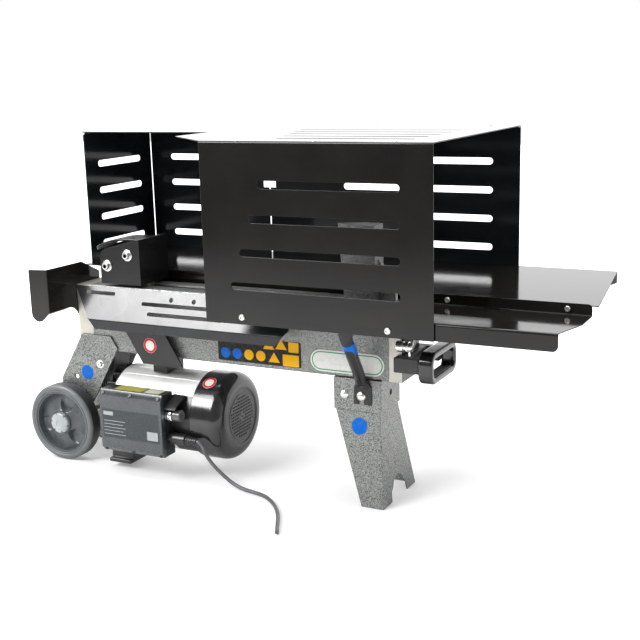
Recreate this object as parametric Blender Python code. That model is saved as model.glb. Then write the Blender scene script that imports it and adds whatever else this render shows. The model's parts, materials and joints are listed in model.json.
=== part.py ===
"""Small electric log splitter: a box beam on two wheels and a leg, with a hydraulic ram
inside the beam, a fixed wedge, a motor and pump underneath, and a sheet-metal guard.

Frame: +X runs along the beam from the valve end to the wedge end, -Y is the operator's
side, +Z is up. Sizes are in millimetres and become Blender metres through MM. They are
measured from the ground under the beam's centre line; ORIGIN is the model's own origin in
those terms, on the ground under the middle of the whole machine's bounding box.
"""
import math

import bmesh
import bpy
from mathutils import Matrix, Vector

MM = 0.001
ORIGIN = (104.0, 40.16, 0.0)
GAP = 0.3                       # clearance between neighbouring pieces
BEYOND = 5.0                    # how far a cutter sticks out of what it cuts

# Beam, its end pieces and the ram inside
BEAM_X = (-340.0, 331.0)
BEAM_HALF = 43.0
BEAM_Z = (238.0, 378.0)
BEAM_WALL = 4.0
END_BLOCK_X = (BEAM_X[1] + GAP, 357.0)
VALVE_X = (-377.0, BEAM_X[0] - GAP)
DRAIN_YZ = (-28.0, 310.0)
CYL_Z = 300.0                   # height of the cylinder's axis
CYL_R = 30.0
CYL_BORE = 24.0
CYL_X = (-338.0, -3.0)
ROD_R = 12.0
LUG_X = (0.0, 16.0)             # lug that ties the slide bar to the rod's end
SLIDE_Z = (352.0, 371.0)

# Pusher and wedge
PUSHER_X = (-305.0, -207.0)
PUSHER_HALF = 50.0
PUSHER_Z = (384.0, 477.0)
PUSHER_BOLTS = ((-288.0, 421.0), (-236.0, 445.0))
WEDGE_EDGE_X = (223.0, 213.0)   # cutting edge at the foot and at the top
WEDGE_BACK_X = 296.0
WEDGE_TOP = 522.0
WEDGE_HALF = 20.0

# Guard and tables
SHEET = 2.0
FRONT_Y = -150.0                # outer face of the hood's front panel
BACK_Y = 338.0                  # outer face of the back panels
LEFT_X = -438.0                 # outer face of the left panel
HOOD_X = (10.0, 460.0)
HOOD_Z = (350.0, 680.0)
HOOD_BOLTS = ((87.5, 363.5), (376.0, 362.0))
HOOD_TOP_X = -115.0             # left end of the hood top's wide part
COVER_Z = (HOOD_Z[1] + GAP, HOOD_Z[1] + GAP + SHEET)
RETURN = 16.0                   # folded edge under the covers
RETURN_Z = (HOOD_Z[1] - SHEET, HOOD_Z[1] - 0.05)
BACK_Z = (401.0, HOOD_Z[1])
SEAM_X = -118.0                 # joint between the two back panels
NOTCH = (-134.0, -103.0)        # square opening across that joint
TABLE_Z = 398.0                 # top of the far table
NEAR_TABLE_Z = 381.0
NEAR_TABLE_X = (14.0, 690.0)
TROUGH_X = (-364.0, 146.0)
SLOT_H = 14.0

# Running gear
WHEEL_R = 82.0
WHEEL_W = 34.0
WHEEL_X = -410.0
WHEEL_Y = 71.0                  # centre of each wheel, either side of the beam
AXLE_R = 6.0

# Leg
LEG_X = (219.0, 313.0)
LEG_TOP = 234.0
LEG_BEND_Z = 174.0
LEG_FOOT_X = (287.0, 333.0)
LEG_FOOT_HALF = 78.0
LEG_BOLTS = ((241.0, 206.0), (277.0, 206.0))
TAB_T = 2.6                     # flattened end of the strut
STRUT_BOLT = (292.0, 358.0)

# Motor, pump and switch box
MOTOR_Z = 118.0
MOTOR_R = 84.0
MOTOR_X = (-278.0, -86.0)
MOTOR_BORE = 70.0
SHAFT_R = 7.0
PUMP_X = (-335.0, -306.0)
GEAR_TEETH = 12
GEAR_CENTRES = 31.0
BOX_X = (-275.0, -127.0)
BOX_Y = (-110.0, -77.5)
BOX_Z = (51.0, 180.0)
LID_T = 12.0
BUTTON_YZ = (-96.6, 137.0)
GLAND_YZ = (-97.0, 88.0)

# Control lever at the valve end
LEVER_PIVOT = (-403.0, -31.0, 345.0)
LEVER_REACH = 68.0
SPOOL_Y = -15.0
SPOOL_Z = 345.0


# ---------------------------------------------------------------- materials and bodies

PAINTS = {
    "gloss_black_sheet": ((0.012, 0.012, 0.013), 0.22, 0.0),
    "hammered_grey": ((0.24, 0.25, 0.24), 0.42, 0.35),
    "black_steel": ((0.02, 0.02, 0.022), 0.35, 0.2),
    "bare_steel": ((0.55, 0.54, 0.50), 0.38, 1.0),
    "ground_steel": ((0.72, 0.72, 0.72), 0.15, 1.0),
    "zinc_fastener": ((0.78, 0.78, 0.76), 0.28, 1.0),
    "cast_alloy": ((0.62, 0.60, 0.55), 0.5, 0.8),
    "motor_alloy": ((0.86, 0.86, 0.85), 0.4, 0.6),
    "black_plastic": ((0.015, 0.015, 0.016), 0.3, 0.0),
    "grey_plastic": ((0.07, 0.08, 0.085), 0.45, 0.0),
    "tyre_rubber": ((0.05, 0.052, 0.055), 0.7, 0.0),
    "hub_plastic": ((0.16, 0.17, 0.175), 0.45, 0.0),
    "cap_plastic": ((0.7, 0.72, 0.72), 0.4, 0.0),
    "iron_core": ((0.12, 0.11, 0.10), 0.6, 0.6),
}


def clear_scene():
    for item in list(bpy.data.objects):
        bpy.data.objects.remove(item, do_unlink=True)


def paint(slot):
    """The slot's Principled material, made on first use."""
    if slot in bpy.data.materials:
        return bpy.data.materials[slot]
    colour, roughness, metallic = PAINTS[slot]
    material = bpy.data.materials.new(slot)
    material.use_nodes = True
    shader = material.node_tree.nodes["Principled BSDF"]
    shader.inputs["Base Color"].default_value = (*colour, 1.0)
    shader.inputs["Roughness"].default_value = roughness
    shader.inputs["Metallic"].default_value = metallic
    return material


def assembly(name, origin):
    """An empty on a body's joint axis, which carries that body's pieces."""
    empty = bpy.data.objects.new(name, None)
    empty.location = (Vector(origin) - Vector(ORIGIN)) * MM
    empty.empty_display_size = 0.03
    bpy.context.collection.objects.link(empty)
    return empty


def add_piece(name, mesh_in, slot, body=None, smooth=None):
    """Turn a bmesh in millimetres into a named object that hangs on its body's empty."""
    origin = Vector(ORIGIN) * MM + (body.location if body else Vector())
    bmesh.ops.remove_doubles(mesh_in, verts=mesh_in.verts, dist=0.001)
    bmesh.ops.recalc_face_normals(mesh_in, faces=mesh_in.faces)
    mesh_in.transform(Matrix.Translation(-origin) @ Matrix.Scale(MM, 4))
    data = bpy.data.meshes.new(name)
    mesh_in.to_mesh(data)
    mesh_in.free()
    data.materials.append(paint(slot))
    if smooth:
        data.shade_smooth()
        data.set_sharp_from_angle(angle=math.radians(smooth))
    piece = bpy.data.objects.new(name, data)
    bpy.context.collection.objects.link(piece)
    if body:
        piece.parent = body
    return piece


def combine(piece, tool_mesh, operation, label):
    """Cut a tool shape from a piece, or weld it on, with an exact Boolean."""
    tool = add_piece(f"{piece.name}_{label}", tool_mesh, "black_steel", piece.parent)
    tool.hide_render = True
    tool.display_type = "WIRE"
    modifier = piece.modifiers.new(label, "BOOLEAN")
    modifier.operation = operation
    modifier.solver = "EXACT"
    modifier.object = tool


def cut(piece, tool_mesh, label):
    combine(piece, tool_mesh, "DIFFERENCE", label)


def weld(piece, tool_mesh, label):
    combine(piece, tool_mesh, "UNION", label)


def round_edges(piece, width, segments=2, angle=40.0):
    modifier = piece.modifiers.new("rounded", "BEVEL")
    modifier.width = width * MM
    modifier.segments = segments
    modifier.limit_method = "ANGLE"
    modifier.angle_limit = math.radians(angle)


# ---------------------------------------------------------------- outlines

def rectangle(u, v):
    return [(u[0], v[0]), (u[1], v[0]), (u[1], v[1]), (u[0], v[1])]


def circle(centre, radius, steps=24):
    return [(centre[0] + radius * math.cos(2 * math.pi * i / steps),
             centre[1] + radius * math.sin(2 * math.pi * i / steps)) for i in range(steps)]


def arc(centre, radius, start, end, steps=5):
    """Points along an arc, both ends included, angles in degrees."""
    angles = [math.radians(start + (end - start) * i / steps) for i in range(steps + 1)]
    return [(centre[0] + radius * math.cos(a), centre[1] + radius * math.sin(a)) for a in angles]


def rounded_rectangle(u, v, radius, steps=4):
    points = []
    for cu, cv, start in ((u[1], v[1], 0), (u[0], v[1], 90), (u[0], v[0], 180), (u[1], v[0], 270)):
        centre = (cu - math.copysign(radius, cu - sum(u) / 2), cv - math.copysign(radius, cv - sum(v) / 2))
        points += arc(centre, radius, start, start + 90, steps)
    return points


def slot(u0, u1, v, height=SLOT_H, steps=4):
    """A long slot with round ends, from u0 to u1, centred on v."""
    radius = height / 2
    return (arc((u1 - radius, v), radius, -90, 90, steps)
            + arc((u0 + radius, v), radius, 90, 270, steps))


def bent_sheet(path, thickness=SHEET):
    """Cross-section of a folded sheet: the path is its outer side, mitred at each fold."""
    inner = []
    for i, point in enumerate(path):
        here = Vector(point)
        before = (here - Vector(path[i - 1])).normalized() if i else None
        after = (Vector(path[i + 1]) - here).normalized() if i + 1 < len(path) else None
        normals = [Vector((-d.y, d.x)) for d in (before, after) if d]
        mean = sum(normals, Vector((0.0, 0.0))).normalized()
        inner.append(tuple(here + mean * (thickness / mean.dot(normals[0]))))
    return list(path) + inner[::-1]


def gear_outline(centre, teeth, module, turn):
    """Straight-flanked teeth, a little narrow so that a pair runs free."""
    pitch_r = teeth * module / 2
    profile = ((-0.30, pitch_r - 1.25 * module), (-0.20, pitch_r), (-0.09, pitch_r + 0.85 * module),
               (0.09, pitch_r + 0.85 * module), (0.20, pitch_r), (0.30, pitch_r - 1.25 * module))
    points = []
    for i in range(teeth):
        for step, radius in profile:
            angle = turn + 2 * math.pi * (i + step) / teeth
            points.append((centre[0] + radius * math.cos(angle), centre[1] + radius * math.sin(angle)))
    return points


# ---------------------------------------------------------------- solids

PLACE = {
    "x": lambda u, v, w: (w, u, v),
    "y": lambda u, v, w: (u, w, v),
    "z": lambda u, v, w: (u, v, w),
}


def prism(normal, outline, span, holes=()):
    """A flat outline, with any holes, extruded along the normal axis over span."""
    mesh = bmesh.new()
    place = PLACE[normal]
    edges = []
    for loop in (outline, *holes):
        ring = [mesh.verts.new(place(u, v, span[0])) for u, v in loop]
        edges += [mesh.edges.new((ring[i - 1], ring[i])) for i in range(len(ring))]
    if holes:
        bmesh.ops.triangle_fill(mesh, use_beauty=True, use_dissolve=False, edges=edges)
    else:
        bmesh.ops.contextual_create(mesh, geom=edges)
    pushed = bmesh.ops.extrude_face_region(mesh, geom=mesh.faces[:], use_keep_orig=True)
    moved = [item for item in pushed["geom"] if isinstance(item, bmesh.types.BMVert)]
    bmesh.ops.translate(mesh, verts=moved, vec=Vector(place(0, 0, span[1] - span[0])))
    return mesh


def box(x, y, z):
    return prism("z", rectangle(x, y), z)


def turned(axis, centre, profile, steps=28):
    """A closed profile of (along, radius) points spun round an axis through centre."""
    along = Vector(PLACE[axis](0, 0, 1))
    across = Vector(PLACE[axis](1, 0, 0))
    mesh = bmesh.new()
    ring = [mesh.verts.new(Vector(centre) + along * a + across * r) for a, r in profile]
    edges = [mesh.edges.new((ring[i - 1], ring[i])) for i in range(len(ring))]
    bmesh.ops.spin(mesh, geom=ring + edges, cent=centre, axis=along, angle=2 * math.pi,
                   steps=steps, use_merge=True)
    bmesh.ops.remove_doubles(mesh, verts=mesh.verts, dist=0.001)
    flat = [f for f in mesh.faces if f.calc_area() < 1e-6]
    bmesh.ops.delete(mesh, geom=flat, context="FACES")
    loose = [e for e in mesh.edges if not e.link_faces]
    bmesh.ops.delete(mesh, geom=loose, context="EDGES")
    return mesh


def rod(axis, centre, radius, span, steps=20):
    """A plain round bar along an axis, over span relative to centre."""
    return turned(axis, centre, [(span[0], 0), (span[1], 0), (span[1], radius), (span[0], radius)], steps)


def loft(sections):
    """Skin through closed rings with equal counts of points, capped at both ends."""
    mesh = bmesh.new()
    rings = [[mesh.verts.new(point) for point in section] for section in sections]
    for low, high in zip(rings, rings[1:]):
        for i in range(len(low)):
            mesh.faces.new((low[i - 1], low[i], high[i], high[i - 1]))
    mesh.faces.new(rings[0][::-1])
    mesh.faces.new(rings[-1])
    return mesh


def smooth_path(points, steps):
    """Catmull-Rom points through the given ones."""
    pts = [Vector(p) for p in points]
    pts = [2 * pts[0] - pts[1]] + pts + [2 * pts[-1] - pts[-2]]
    path = []
    for a, b, c, d in zip(pts, pts[1:], pts[2:], pts[3:]):
        for i in range(steps):
            t = i / steps
            path.append(0.5 * (2 * b + (c - a) * t + (2 * a - 5 * b + 4 * c - d) * t * t
                               + (3 * b - a - 3 * c + d) * t ** 3))
    path.append(pts[-2])
    return path


def tube_along(path, half_widths, half_heights, side, steps=12):
    """Rings round a path: ellipse half-sizes per point, widths measured towards side."""
    sections = []
    for i, point in enumerate(path):
        ahead = path[min(i + 1, len(path) - 1)] - path[max(i - 1, 0)]
        up = ahead.cross(Vector(side)).normalized()
        across = up.cross(ahead).normalized()
        ring = []
        for j in range(steps):
            angle = 2 * math.pi * (j + 0.5) / steps
            ring.append(point + across * half_widths[i] * math.cos(angle)
                        + up * half_heights[i] * math.sin(angle))
        sections.append(ring)
    return loft(sections)


# ---------------------------------------------------------------- beam and ram

def build_beam():
    outer = rectangle((-BEAM_HALF, BEAM_HALF), BEAM_Z)
    inner = rectangle((-BEAM_HALF + BEAM_WALL, BEAM_HALF - BEAM_WALL),
                      (BEAM_Z[0] + BEAM_WALL, BEAM_Z[1] - BEAM_WALL))
    beam = add_piece("beam", prism("x", outer, BEAM_X, [inner]), "hammered_grey")
    ram_slot = box((PUSHER_X[0] + 3, 86), (-13, 13), (BEAM_Z[1] - 2 * BEAM_WALL, BEAM_Z[1] + BEYOND))
    cut(beam, ram_slot, "ram_slot")

    section = rectangle((-BEAM_HALF, BEAM_HALF), (BEAM_Z[0], BEAM_Z[1] - 2))
    drain_hole = circle(DRAIN_YZ, 7.0)
    add_piece("end_block", prism("x", section, END_BLOCK_X, [drain_hole]), "bare_steel")
    plug = [(0.3, 0), (18, 0), (18, 8), (16, 10), (6, 10), (6, 13), (0.3, 13)]
    drain = turned("x", (END_BLOCK_X[1], *DRAIN_YZ), plug, 24)
    drain_plug = add_piece("drain_plug", drain, "zinc_fastener", smooth=35)
    weld(drain_plug, rod("x", (END_BLOCK_X[1], *DRAIN_YZ), 6.5, (-20, 3)), "shank")


def build_cylinder(ram):
    tube = turned("x", (0, 0, CYL_Z), [(CYL_X[0], CYL_BORE), (CYL_X[1], CYL_BORE),
                                       (CYL_X[1], CYL_R), (CYL_X[0], CYL_R)])
    add_piece("cylinder_tube", tube, "bare_steel", smooth=35)
    back, front = CYL_X[1] - 19, CYL_X[1] - 0.5
    gland = turned("x", (0, 0, CYL_Z), [(back, ROD_R + GAP), (front, ROD_R + GAP),
                                        (front, CYL_BORE - GAP), (back, CYL_BORE - GAP)])
    add_piece("cylinder_gland", gland, "cast_alloy", smooth=35)

    piston_x = CYL_X[0] + 6
    piston = turned("x", (0, 0, CYL_Z), [(piston_x, ROD_R + GAP), (piston_x + 14, ROD_R + GAP),
                                         (piston_x + 14, CYL_BORE - GAP), (piston_x, CYL_BORE - GAP)])
    add_piece("piston", piston, "bare_steel", ram, smooth=35)
    add_piece("piston_rod", rod("x", (0, 0, CYL_Z), ROD_R, (piston_x - 2, LUG_X[0] - GAP)),
              "ground_steel", ram, smooth=35)


def build_pusher(ram):
    """Slide bar inside the beam, with the pusher box bolted on its neck above."""
    slide = add_piece("ram_slide", box((PUSHER_X[0], LUG_X[1]), (-34, 34), SLIDE_Z), "bare_steel", ram)
    weld(slide, box(LUG_X, (-20, 20), (CYL_Z - 16, SLIDE_Z[0] + 5)), "lug")
    weld(slide, box((PUSHER_X[0] + 8, PUSHER_X[1] - 8), (-10, 10),
                    (SLIDE_Z[1] - 5, PUSHER_Z[0] - GAP)), "neck")

    back, front = PUSHER_X
    side = [(back, PUSHER_Z[0]), (front, PUSHER_Z[0]), (front, PUSHER_Z[1]), (front - 8, PUSHER_Z[1])]
    side += arc((back + 22, 436), 22, 115, 180)
    shell = add_piece("pusher_box", prism("y", side, (-PUSHER_HALF, PUSHER_HALF)), "black_steel", ram)
    cut(shell, box((back - 5, front - 12), (-PUSHER_HALF + 6, PUSHER_HALF - 6),
                   (PUSHER_Z[0] + 8, PUSHER_Z[1] + 5)), "hollow")
    for x, z in PUSHER_BOLTS:
        cut(shell, rod("y", (x, 0, z), 6.0, (-60, 60)), f"bolt_hole_{abs(int(x))}")

    tip = back - 33
    plate = bent_sheet([(tip, 446), (back + 6, 460), (front - 12.5, 470)], 5.0)
    tongue = add_piece("pusher_deflector", prism("y", plate, (-30, 30)), "black_steel", ram)
    for sign in (-1, 1):
        corner = [(tip - 4, sign * 8), (tip - 4, sign * 34), (tip + 32, sign * 34)]
        cut(tongue, prism("z", corner, (430, 480)), f"corner_{sign + 1}")

    for name, (x, z) in zip(("pusher_bolt_rear", "pusher_bolt_front"), PUSHER_BOLTS):
        head = PUSHER_HALF + GAP
        profile = [(-head - 9, 0), (head + 9, 0), (head + 9, 7.5), (head + 7.5, 9), (head, 9),
                   (head, 5.5), (-head, 5.5), (-head, 9), (-head - 7.5, 9), (-head - 9, 7.5)]
        add_piece(name, turned("y", (x, 0, z), profile, 20), "zinc_fastener", ram, smooth=35)


def build_wedge():
    """Upright wedge: a sharp leading edge that leans a little, and a flat back."""
    sections = []
    for z, edge in ((NEAR_TABLE_Z - 2.0, WEDGE_EDGE_X[0]), (WEDGE_TOP, WEDGE_EDGE_X[1])):
        sections.append([(edge, -0.6, z), (edge, 0.6, z), (edge + 46, WEDGE_HALF, z),
                         (WEDGE_BACK_X, WEDGE_HALF, z), (WEDGE_BACK_X, -WEDGE_HALF, z),
                         (edge + 46, -WEDGE_HALF, z)])
    wedge = add_piece("wedge", loft(sections), "hammered_grey")
    web = [(WEDGE_BACK_X - 5, 380), (330, 380), (330, 396), (WEDGE_BACK_X - 5, 470)]
    weld(wedge, prism("y", web, (-5, 5)), "gusset")


# ---------------------------------------------------------------- valve, lever, guard

def build_valve(spool_body, lever_body):
    section = rectangle((-BEAM_HALF, BEAM_HALF), (244.0, BEAM_Z[1] - 2))
    bore = circle((SPOOL_Y, SPOOL_Z), 7.3)
    add_piece("valve_block", prism("x", section, VALVE_X, [bore]), "cast_alloy")
    spool_span = (LEVER_PIVOT[0] + 9, VALVE_X[1] - 8)
    add_piece("valve_spool", rod("x", (0, SPOOL_Y, SPOOL_Z), 7.0, spool_span),
              "ground_steel", spool_body, smooth=35)

    px, py, pz = LEVER_PIVOT
    arm = [(px - 6, py - LEVER_REACH), (px + 6, py - LEVER_REACH), (px + 7.5, py),
           (px + 6, py + 22), (px - 6, py + 22), (px - 7.5, py)]
    lever = add_piece("control_lever", prism("z", arm, (pz - 4, pz + 4)), "black_steel", lever_body)
    round_edges(lever, 1.5, 1)
    cut(lever, rod("z", (px, py, pz), 4.3, (-10, 10)), "pivot_hole")
    knob = [(-26, 0), (0, 0), (0, 8), (-4, 12), (-18, 13), (-24, 9)]
    add_piece("lever_knob", turned("y", (px, py - LEVER_REACH - GAP, pz), knob, 20),
              "black_plastic", lever_body, smooth=50)


def build_lever_guard():
    """Guard plate on the valve end, with an arm that shields the operator's hand."""
    x = (VALVE_X[0] - GAP - 2.5, VALVE_X[0] - GAP)
    outline = [(-133, 331), (-70, 331)]
    outline += arc((-70, 298), 33, 90, 10, 5)
    outline += [(-37, 262), (36, 262), (36, 392), (16, 402), (-20, 420), (-133, 421)]
    spool_hole = circle((SPOOL_Y, SPOOL_Z), 8.5, 16)
    guard = add_piece("lever_guard", prism("x", outline, x, [spool_hole]), "gloss_black_sheet")
    flange = [(x[0] + 1, 421), (x[0] - 44, 419)]
    flange += arc((x[0] - 26, 330), 18, 180, 300, 5)
    flange += [(x[0] + 1, 331)]
    weld(guard, prism("y", flange, (-133, -130.5)), "front_flange")
    lip = [(x[0] + 1.5, 331), (x[0] + 1.5, 333.5), (x[0] - 10, 328), (x[0] - 10, 325)]
    weld(guard, prism("y", lip, (-131, -72)), "lower_lip")


# ---------------------------------------------------------------- hood, panels, tables

def front_rows():
    return [HOOD_Z[1] - 73.7 - 61.5 * i for i in range(4)]


def back_rows(count):
    return [HOOD_Z[1] - 70.1 - 58.7 * i for i in range(count)]


def build_hood():
    x0, x1 = HOOD_X
    slots = [slot(x0 + 118 - 20.5 * i, x1 - 60, z) for i, z in enumerate(front_rows())]
    holes = [circle((x, z), 3.2, 10) for x, z in HOOD_BOLTS]
    y = (FRONT_Y, FRONT_Y + SHEET)
    front = add_piece("hood_front", prism("y", rectangle(HOOD_X, HOOD_Z), y, slots + holes),
                      "gloss_black_sheet")
    weld(front, box((x0 + 1, x1 - 1), (y[0] + 0.5, y[0] + RETURN), RETURN_Z), "top_return")

    top = [(x0, FRONT_Y + 1), (x1, FRONT_Y + 1), (x1, BACK_Y), (HOOD_TOP_X, BACK_Y), (HOOD_TOP_X, -35)]
    slots = [slot(x0 + 118 - 20.5 * i, x1 - 60, FRONT_Y + 75 + 62 * i) for i in range(5)]
    add_piece("hood_top", prism("z", top, COVER_Z, slots), "gloss_black_sheet")


def back_panel(name, x0, x1, slots):
    """One back panel with its half of the square opening and a folded top edge."""
    y = (BACK_Y - SHEET, BACK_Y)
    z0, z1 = BACK_Z
    row = back_rows(2)[1]
    low, high = row - SLOT_H / 2, row + SLOT_H / 2
    if x0 > SEAM_X:
        outline = [(x0, z0), (x1, z0), (x1, z1), (x0, z1),
                   (x0, high), (NOTCH[1], high), (NOTCH[1], low), (x0, low)]
    else:
        outline = [(x0, z0), (x1, z0), (x1, low), (NOTCH[0], low),
                   (NOTCH[0], high), (x1, high), (x1, z1), (x0, z1)]
    panel = add_piece(name, prism("y", outline, y, slots), "gloss_black_sheet")
    weld(panel, box((x0 + 3, x1 - 3), (y[1] - RETURN, y[1] - 0.5), RETURN_Z), "top_return")


def build_panels():
    left_slots = [slot(LEFT_X + 57, LEFT_X + 260, z) for z in back_rows(4)]
    back_panel("back_panel_left", LEFT_X + 3, SEAM_X - 1.5, left_slots)
    right_slots = [slot(66, HOOD_X[1] - 57, z) for z in back_rows(4)]
    back_panel("back_panel_right", SEAM_X + 1.5, HOOD_X[1], right_slots)

    y0, y1 = 90.0, BACK_Y - 3.0
    side = [(y0, BACK_Z[0]), (y1, BACK_Z[0]), (y1, BACK_Z[1]), (y0 + 5, BACK_Z[1]), (y0, BACK_Z[1] - 5)]
    slots = [slot(y0 + 44.5, y0 + 202.6, z) for z in back_rows(4)]
    panel = add_piece("left_panel", prism("x", side, (LEFT_X, LEFT_X + SHEET), slots), "gloss_black_sheet")
    weld(panel, box((LEFT_X + 0.5, LEFT_X + RETURN), (y0 + 8, y1 - 14), RETURN_Z), "top_return")

    rear = rectangle((LEFT_X, HOOD_TOP_X - 2), (y0, BACK_Y))
    add_piece("rear_top", prism("z", rear, COVER_Z), "gloss_black_sheet")


def build_tables():
    """Near table folded in a Z; far table flat, with a stay underneath and a fall at its end."""
    z = NEAR_TABLE_Z
    front = FRONT_Y + 4.3
    fold = bent_sheet([(-1, 401), (-1, z), (front, z), (front, HOOD_Z[0])])
    near = add_piece("near_table", prism("x", fold, NEAR_TABLE_X), "gloss_black_sheet")
    cut(near, box((0, 345), (-26, 5), (z - 10, 405)), "ram_and_wedge_gap")
    end = 670.0
    cut(near, prism("z", [(692, -61), (692, -160), (end, -160), (end, -140)], (340, 400)), "corner")
    flange_corner = [(end + 2, 345), (end + 2, 360)] + arc((end - 10, 360), 10, 0, -90) + [(end - 10, 345)]
    cut(near, prism("y", flange_corner, (front - BEYOND, front + BEYOND)), "flange_corner")
    for x, bolt_z in HOOD_BOLTS:
        cut(near, rod("y", (x, front, bolt_z), 3.2, (-BEYOND, BEYOND), 10), f"bolt_hole_{int(x)}")
    cut(near, rod("y", (STRUT_BOLT[0], front, STRUT_BOLT[1]), 3.6, (-BEYOND, BEYOND), 10), "strut_hole")

    y_near, y_far = 3.5, BACK_Y - SHEET - GAP
    outline = [(LEFT_X + SHEET + GAP, 60), (205, 60), (205, 32), (345, 32), (345, y_near), (700, y_near),
               (695, 48), (660, y_far), (LEFT_X + SHEET + GAP, y_far)]
    far = add_piece("far_table", prism("z", outline, (TABLE_Z - SHEET, TABLE_Z)), "gloss_black_sheet")
    corners = [(660, y_far, TABLE_Z - 0.5), (677.85, 189, TABLE_Z - 0.5), (660, y_far, TABLE_Z - 24)]
    weld(far, loft([[(x - back, y, z) for x, y, z in corners] for back in (SHEET, 0.0)]), "end_fall")
    stay = [(60.5, TABLE_Z - 1), (60.5, 372), (43.5, 372), (43.5, 369), (63.5, 369), (63.5, TABLE_Z - 1)]
    weld(far, prism("x", stay, (-330, 320)), "beam_stay")


def build_trough():
    """Sloping front plate of the trough: a skirt with slots and a folded lower edge."""
    path = [(-90, 297), (-90, 316), (-60, 378.5)]
    skirt = add_piece("trough_plate", prism("x", bent_sheet(path[::-1]), TROUGH_X), "gloss_black_sheet")
    through = (-110, -45)
    for x0, x1, z in ((-335, -261, 367), (-192, 20, 353), (-174, 0, 335)):
        cut(skirt, prism("y", slot(x0, x1, z, 7.0), through), f"slot_{abs(x0)}")
    for x in (-124, -71):
        cut(skirt, prism("y", circle((x, 364), 3.2, 12), through), f"hole_{abs(x)}")
    right = TROUGH_X[1]
    cut(skirt, prism("y", [(right - 34, 290), (right + 4, 290), (right + 4, 332)], through), "right_corner")
    left = TROUGH_X[0]
    slant = [(left - 11, 290), (left + 70, 290), (left, 378), (left - 11, 378)]
    cut(skirt, prism("y", slant, through), "left_corner")
    stay = [(-61, 378.7), (-61, 376.7), (-43.3, 376.7), (-43.3, 378.7)]
    weld(skirt, prism("x", stay, (-330, 130)), "beam_stay")


# ---------------------------------------------------------------- motor, pump, switch box

def fin_outline(radius, depth, count):
    """Outline of the ribbed motor body: narrow grooves between flat-topped ribs."""
    points = []
    for i in range(count):
        for step, drop in ((-0.38, 0.0), (0.38, 0.0), (0.42, depth), (0.58, depth)):
            angle = 2 * math.pi * (i + step) / count
            points.append(((radius - drop) * math.cos(angle), MOTOR_Z + (radius - drop) * math.sin(angle)))
    return points


def build_motor(rotor_body):
    body = prism("x", fin_outline(MOTOR_R, 4.0, 30), MOTOR_X, [circle((0, MOTOR_Z), MOTOR_BORE, 40)])
    add_piece("motor_body", body, "motor_alloy")
    left = MOTOR_X[0]
    bell = [(left - 27, SHAFT_R + 0.5), (left - GAP, SHAFT_R + 0.5), (left - GAP, MOTOR_R - 2),
            (left - 9, MOTOR_R - 2), (left - 27, MOTOR_R - 22)]
    add_piece("motor_end_bell", turned("x", (0, 0, MOTOR_Z), bell, 40), "cast_alloy", smooth=35)
    core = [(-262, 40), (-146, 40), (-146, MOTOR_BORE - GAP), (-262, MOTOR_BORE - GAP)]
    add_piece("stator_core", turned("x", (0, 0, MOTOR_Z), core, 40), "iron_core", smooth=35)

    rotor = [(PUMP_X[0] + 9, 0), (-34, 0), (-34, SHAFT_R), (-150, SHAFT_R), (-150, 38.5),
             (-258, 38.5), (-258, SHAFT_R), (PUMP_X[0] + 9, SHAFT_R)]
    add_piece("rotor", turned("x", (0, 0, MOTOR_Z), rotor, 24), "iron_core", rotor_body, smooth=35)
    blades = []
    for i in range(8):
        base = 2 * math.pi * i / 8
        for swing, radius in ((-0.30, 14), (-0.04, 60), (0.04, 60), (0.30, 14)):
            angle = base + swing
            blades.append((radius * math.cos(angle), MOTOR_Z + radius * math.sin(angle)))
    hole = circle((0, MOTOR_Z), SHAFT_R + GAP, 24)
    add_piece("cooling_fan", prism("x", blades, (-66, -40), [hole]), "black_plastic", rotor_body)


def build_fan_cover():
    """Black cover over the fan: a drum with a rounded shoulder and a square-hole grille."""
    x0, x1, radius, wall, shoulder = -82.0, -12.0, 90.0, 2.5, 26.0
    outside = [(x0, radius - 1)]
    outside += [(a, r) for r, a in arc((radius - shoulder, x1 - shoulder), shoulder, 0, 90, 4)]
    inside = [(a, r) for r, a in arc((radius - shoulder, x1 - shoulder), shoulder - wall, 90, 0, 4)]
    face = x1 - 1.5
    profile = outside + [(x1, 59), (face, 58), (face, 0), (face - wall, 0), (face - wall, 58)]
    profile += inside + [(x0, radius - 1 - wall)]
    cover = add_piece("fan_cover", turned("x", (0, 0, MOTOR_Z), profile, 32), "black_plastic", smooth=35)
    pitch, half = 16.0, 5.2
    for row in range(-2, 3):
        width = int(math.sqrt(44.0 ** 2 - (row * pitch) ** 2) / pitch)
        for column in range(-width, width + 1):
            y, z = column * pitch, MOTOR_Z + row * pitch
            tool = box((x1 - 9, x1 + 5), (y - half, y + half), (z - half, z + half))
            cut(cover, tool, f"vent_{row + 2}_{column + 2}")


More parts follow.
